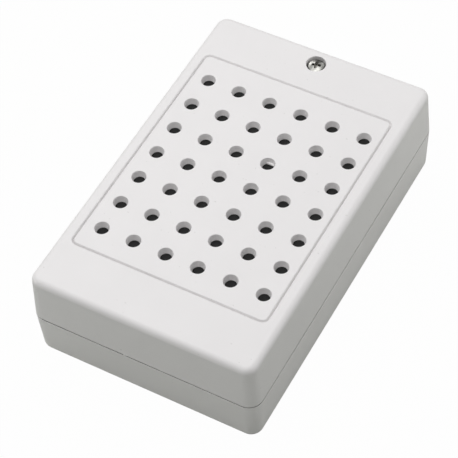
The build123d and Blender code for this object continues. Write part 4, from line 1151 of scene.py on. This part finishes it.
def capacitor_sleeve():
    """Dark shrunk sleeve with a pale stripe, rolled over the edge of a bare metal top."""
    paint = surface("capacitor_sleeve")
    x, y = paint.axes()
    dx, dy = x - CAPACITOR_X, y - CAPACITOR_Y
    bare = dx * dx + dy * dy < CAN_TOP_R**2
    stripe = paint.near(dy, 0.0, 1.0 * MM) * (dx < 0.0)
    sleeve = paint.blend(stripe, colour(34, 36, 52), colour(176, 178, 184))
    paint.feed("Base Color", paint.blend(bare, sleeve, colour(196, 196, 194)))
    paint.feed("Metallic", bare)
    paint.feed("Roughness", 0.24 + 0.16 * paint.noise(900))
    paint.bump(paint.noise(700, detail=3), 0.02 * MM)
    return paint.owner


def banded_lacquer():
    """Resistor: tan lacquer with four colour bands, and bright tinned wires."""
    paint = surface("resistor_paint")
    x, _ = paint.axes()
    along = x - RESISTOR_X
    tint = paint.blend(paint.noise(900), colour(206, 184, 142), colour(216, 196, 156))
    bands = ((-2.1, (120, 66, 30)), (-1.0, (24, 24, 24)), (0.1, (178, 36, 30)), (1.9, (178, 140, 60)))
    for place, tone in bands:
        tint = paint.blend(paint.near(along, place * MM, 0.3 * MM), tint, colour(*tone))
    wire = 1.0 - paint.near(along, 0.0, RESISTOR_BODY)
    paint.feed("Base Color", paint.blend(wire, tint, colour(204, 202, 196)))
    paint.feed("Metallic", wire)
    paint.feed("Roughness", 0.26 + 0.12 * paint.noise(800))
    paint.bump(paint.noise(1200), 0.01 * MM)
    return paint.owner


def finishes():
    """Every material inside the box, by its slot."""
    made = {name: plain(name) for name in FINISHES}
    made["cloth"] = acoustic_weave()
    made["cone_paper"] = felted_paper()
    made["spider_cloth"] = stiffened_cloth()
    made["foam"] = open_foam()
    made["circuit_green"] = solder_mask()
    made["capacitor_sleeve"] = capacitor_sleeve()
    made["resistor_paint"] = banded_lacquer()
    return made


def ring_outline(inner, outer, low, high):
    """The outline of a ring with straight walls."""
    return [(inner, low), (outer, low), (outer, high), (inner, high)]


def corrugated(rim_r, outer_r, inner_r, foot_r, waves, rise, level):
    """The outline of a thin ring that is corrugated between two flat rims."""
    count = 14 * waves
    radii = [outer_r + (inner_r - outer_r) * i / count for i in range(count + 1)]
    turns = 2 * pi * waves / (outer_r - inner_r)
    low = [(rim_r, level)]
    low += [(r, level + rise * sin(turns * (outer_r - r))) for r in radii]
    low += [(foot_r, level)]
    return low + [(r, z + SURROUND_THICKNESS) for r, z in reversed(low)]


def dome(edge_r, edge_z, rise, count=14):
    """Points of a shallow dome's section, from its edge to its crown."""
    sphere = (edge_r**2 + rise**2) / (2 * rise)
    low = edge_z + rise - sphere
    radii = [edge_r * cos(pi / 2 * i / count) for i in range(count + 1)]
    return [(r, low + (sphere**2 - r**2) ** 0.5) for r in radii]


def turned(node, paints, outline, edge=0.0, sharp=35, ring=True, place=AXIS):
    """A piece turned on an upright axis, in place of a CAD node."""

    def form(bm):
        spun(bm, outline, place, ring, 96)

    piece = built(node + "_shown", form)
    if edge:
        soften(piece, edge)
    return stand_for(piece, node, paints[body_and_slot(node)[1]], sharp)


def acoustic_cloth(paints):
    """Thin cloth stretched across the cloth frame, a little slack between the holes."""
    across, along = CLOTH_CELLS
    top = CLOTH_HIGH.z - SKIN
    bm = bmesh.new()
    made = bmesh.ops.create_grid(bm, x_segments=across, y_segments=along, size=0.5)["verts"]
    bmesh.ops.scale(bm, vec=(CLOTH_WIDTH - 2 * SKIN, CLOTH_LENGTH - 2 * SKIN, 1), verts=made)
    bmesh.ops.translate(bm, vec=(0, GRILLE_Y, top), verts=made)
    for vert in made:
        x, y = vert.co.x / HOLE_PITCH, (vert.co.y - GRILLE_Y) / HOLE_PITCH
        slack = (1 - cos(2 * pi * x)) * (1 + cos(2 * pi * y)) / 4
        ripple = CLOTH_RIPPLE * sin(23 * x + 1.7 * y) * sin(19 * y)
        vert.co.z -= CLOTH_SLACK * (slack + ripple) + CLOTH_SLACK / 2
    bmesh.ops.solidify(bm, geom=list(bm.faces), thickness=CLOTH_THICKNESS)
    cloth = new_mesh("acoustic_cloth_shown", bm)
    stand_for(cloth, "acoustic_cloth", paints["cloth"], 60)


def loudspeaker(paints):
    """Basket, magnet, cone and its suspension, turned about one axis."""
    basket_outline = [
        (FLANGE_R, SPEAKER_Z),
        (MOUTH_R, SPEAKER_Z),
        (SHELF_OUTER_R, SPEAKER_Z - SHELF_DEPTH),
        (SHELF_INNER_R, SPEAKER_Z - SHELF_DEPTH),
        (SHELF_INNER_R, PLATE_Z + SHEET),
        (BASKET_BORE_R, PLATE_Z + SHEET),
        (BASKET_BORE_R, PLATE_Z),
        (SHELF_INNER_R + SHEET, PLATE_Z),
        (SHELF_INNER_R + SHEET, SPEAKER_Z - SHELF_DEPTH - SHEET),
        (SHELF_OUTER_R + SHEET / 2, SPEAKER_Z - SHELF_DEPTH - SHEET),
        (MOUTH_R + SHEET / 2, SPEAKER_Z - FLANGE_THICKNESS),
        (FLANGE_R, SPEAKER_Z - FLANGE_THICKNESS),
    ]

    def pressing(bm):
        spun(bm, basket_outline, AXIS, True, 96)

    def windows(bm):
        low = SPEAKER_Z - SHELF_DEPTH - SHEET
        height = SHELF_DEPTH + SHEET - 2 * FLANGE_THICKNESS
        for i in range(WINDOWS):
            angle = 2 * pi * i / WINDOWS
            place = (0, 0, low)
            before = set(bm.verts)
            slab(bm, WINDOW_WIDTH, WINDOW_LENGTH, WINDOW_CORNER_R, place, height)
            made = [vert for vert in bm.verts if vert not in before]
            bmesh.ops.translate(bm, vec=(WINDOW_RADIUS, 0, 0), verts=made)
            bmesh.ops.rotate(bm, cent=(0, 0, 0), matrix=Matrix.Rotation(angle, 3, "Z"), verts=made)
            bmesh.ops.translate(bm, vec=AXIS, verts=made)

    def ear(bm):
        length = EAR_REACH - SHELF_INNER_R
        place = (0, GRILLE_Y - SHELF_INNER_R - length / 2, PLATE_Z)
        slab(bm, EAR_WIDTH, length, 0, place, SHEET)

    basket = built("speaker_basket_shown", pressing)
    combine(basket, "DIFFERENCE", windows)
    combine(basket, "UNION", ear)
    soften(basket, 0.1 * MM)
    stand_for(basket, "speaker_basket", paints["zinc_steel"])

    surround = (SURROUND_RIM_R, SURROUND_OUTER_R, SURROUND_INNER_R, CONE_EDGE_R)
    turned("cone_surround", paints, corrugated(*surround, 1, SURROUND_WAVE, SPEAKER_Z), sharp=50)
    spider = (SHELF_OUTER_R - SHEET, SHELF_INNER_R, FORMER_OUTER_R + SHEET, FORMER_OUTER_R)
    level = SPEAKER_Z - SHELF_DEPTH
    turned("spider", paints, corrugated(*spider, 2, SPIDER_WAVE, level), sharp=50)

    count = 10 * CONE_RIBS
    flare = []
    for i in range(count + 1):
        share = i / count
        radius = CONE_EDGE_R + (CONE_NECK_R - CONE_EDGE_R) * share
        rib = CONE_RIB_RISE * sin(2 * pi * CONE_RIBS * share) * sin(pi * share)
        flare.append((radius, SPEAKER_Z - CONE_DEPTH * share + rib))
    top = [(SURROUND_INNER_R, SPEAKER_Z)] + flare
    turned("speaker_cone", paints, top + [(r, z - PAPER) for r, z in reversed(top)], sharp=50)

    under = dome(CAP_R - 2 * PAPER, CAP_Z, CAP_RISE - PAPER)
    turned("dust_cap", paints, dome(CAP_R, CAP_Z, CAP_RISE)[::-1] + under, ring=False)

    coil_z = PLATE_Z - PLATE_THICKNESS / 2 - COIL_HEIGHT / 2
    wound = []
    for i in range(COIL_TURNS):
        low, pitch = coil_z + COIL_HEIGHT * i / COIL_TURNS, COIL_HEIGHT / COIL_TURNS
        wound += [(COIL_R - COIL_NOTCH, low), (COIL_R - COIL_SHOULDER, low + pitch / 4)]
        wound += [(COIL_R, low + pitch / 2), (COIL_R - COIL_SHOULDER, low + 3 * pitch / 4)]
    wound += [(COIL_R - COIL_NOTCH, coil_z + COIL_HEIGHT)]
    wound += [(FORMER_OUTER_R, coil_z + COIL_HEIGHT), (FORMER_OUTER_R, coil_z)]
    turned("voice_coil", paints, wound, sharp=50)

    former_low, former_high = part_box("coil_former")
    heights = (former_low.z, former_high.z)
    turned("coil_former", paints, ring_outline(FORMER_R, FORMER_OUTER_R, *heights), edge=0.05 * MM)
    magnet_z = PLATE_Z - PLATE_THICKNESS
    yoke_z = magnet_z - MAGNET_HEIGHT
    plate_ring = ring_outline(PLATE_BORE_R, PLATE_R, magnet_z, PLATE_Z)
    turned("top_plate", paints, plate_ring, edge=0.25 * MM)
    magnet_ring = ring_outline(MAGNET_BORE_R, MAGNET_R, yoke_z, magnet_z)
    turned("magnet", paints, magnet_ring, edge=0.45 * MM)
    yoke = [(0, PLATE_Z), (POLE_R, PLATE_Z), (POLE_R, yoke_z), (PLATE_R, yoke_z)]
    yoke += [(PLATE_R, yoke_z - YOKE_THICKNESS + SHEET), (PLATE_R - SHEET, yoke_z - YOKE_THICKNESS)]
    yoke += [(0, yoke_z - YOKE_THICKNESS)]
    turned("yoke", paints, yoke, edge=0.2 * MM, ring=False)

    low, high = (corner.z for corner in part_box("speaker_gasket"))
    middle_r, middle_z = (GASKET_INNER_R + SURROUND_RIM_R) / 2, (low + high) / 2
    half_r, half_z = (SURROUND_RIM_R - GASKET_INNER_R) / 2, (high - low) / 2
    soft = []
    for i in range(GASKET_POINTS):
        a = 2 * pi * (i + 0.5) / GASKET_POINTS
        c, s = cos(a), sin(a)
        reach = (abs(c) ** GASKET_SQUARENESS + abs(s) ** GASKET_SQUARENESS) ** (-1 / GASKET_SQUARENESS)
        soft.append((middle_r + half_r * reach * c, middle_z + half_z * reach * s))
    turned("speaker_gasket", paints, soft, sharp=70)


def small_screws(node, points, seat_z, length, paints):
    """A row of the small screws, in place of a CAD node."""
    core = (SMALL_CORE_R, 0, length)
    piece = screws(node + "_shown", points, seat_z, SMALL_HEAD, *core, SMALL_CROSS)
    stand_for(piece, node, paints["small_fasteners"])


def solder_joints(paints):
    """Domes of solder under the board and at the ends of the leads on the tags."""
    under = [(TERMINAL_X + side * POLE_PITCH / 2, PIN_Y) for side in (-1, 1)]
    under += [(x, RESISTOR_WIRE_Y) for x in (RESISTOR_LOW.x, RESISTOR_HIGH.x)]
    blob = [(1.1 * MM, 0), (0.8 * MM, -0.25 * MM), (0.5 * MM, -0.7 * MM), (0, -1.0 * MM)]
    cap = [(1.0 * MM, 0), (0.95 * MM, 0.2 * MM), (0.6 * MM, 0.45 * MM), (0, 0.55 * MM)]

    def blobs(bm):
        for x, y in under:
            spun(bm, [(0, 0)] + blob, (x, y, BOARD_Z), segments=24)
        for side in (-1, 1):
            spun(bm, [(0, 0)] + cap, (side * TAG_X, TAG_JOINT_Y, TAG_HIGH.z), segments=24)

    piece = built("solder_joints", blobs)
    smooth(piece, 60)
    finish(piece, "base", "tinned", paints["tinned"])


def connection_board(paints):
    """The small board, what stands on it, and the leads from it to the loudspeaker."""
    can = [(CAPACITOR_R - 0.1 * MM, 0), (CAPACITOR_R, 0.1 * MM), (CAPACITOR_R, 1.2 * MM)]
    can += [(CAPACITOR_R - 0.3 * MM, 1.45 * MM), (CAPACITOR_R - 0.5 * MM, 1.7 * MM)]
    can += [(CAPACITOR_R - 0.3 * MM, 1.95 * MM), (CAPACITOR_R, 2.2 * MM)]
    height = CAPACITOR_HIGH.z - CAPACITOR_LOW.z
    can += [(CAPACITOR_R, height - 0.4 * MM), (CAPACITOR_R - 0.12 * MM, height - 0.12 * MM)]
    can += [(CAPACITOR_R - 0.4 * MM, height), (CAN_ROLL_R, height)]
    can += [(CAN_TOP_R, height - CAN_TOP_SINK), (0, height - CAN_TOP_SINK)]
    foot = (CAPACITOR_X, CAPACITOR_Y, CAPACITOR_LOW.z)
    turned("coupling_capacitor", paints, [(0, 0)] + can, ring=False, place=foot)
    small_screws("board_screws", BOARD_SCREW_POINTS, BOARD_TOP, BOARD_SCREW_LENGTH, paints)
    solder_joints(paints)
    edges = {
        "circuit_board": 0.05,
        "terminal_housing": 0.12,
        "terminal_contacts": 0.05,
        "terminal_cage_1": 0.06,
        "terminal_cage_2": 0.06,
        "terminal_screw_1": 0.08,
        "terminal_screw_2": 0.08,
        "trimmer_body": 0.15,
        "trimmer_rotor": 0.1,
        "series_resistor": 0.12,
        "tag_board": 0.05,
        "solder_tags": 0.06,
        "speaker_clamps": 0.15,
        "tinsel_leads": 0.05,
        "lead_black": 0.0,
        "lead_red": 0.0,
    }
    for node, edge in edges.items():
        refined(node, paints[body_and_slot(node)[1]], edge * MM)


# The whole object, with its camera and studio
camera()
studio()
shell_plastic = moulded_plastic()
cover = cover_shell(shell_plastic)
base_shell(shell_plastic)
cover_screw(plated_steel())
inner_paints = finishes()
acoustic_cloth(inner_paints)
loudspeaker(inner_paints)
clamp_seat_z = SPEAKER_Z + CLAMP_THICKNESS
small_screws("speaker_screws", CLAMP_POINTS, clamp_seat_z, CLAMP_SCREW_LENGTH, inner_paints)
connection_board(inner_paints)

bpy.context.scene.view_settings.view_transform = "Standard"
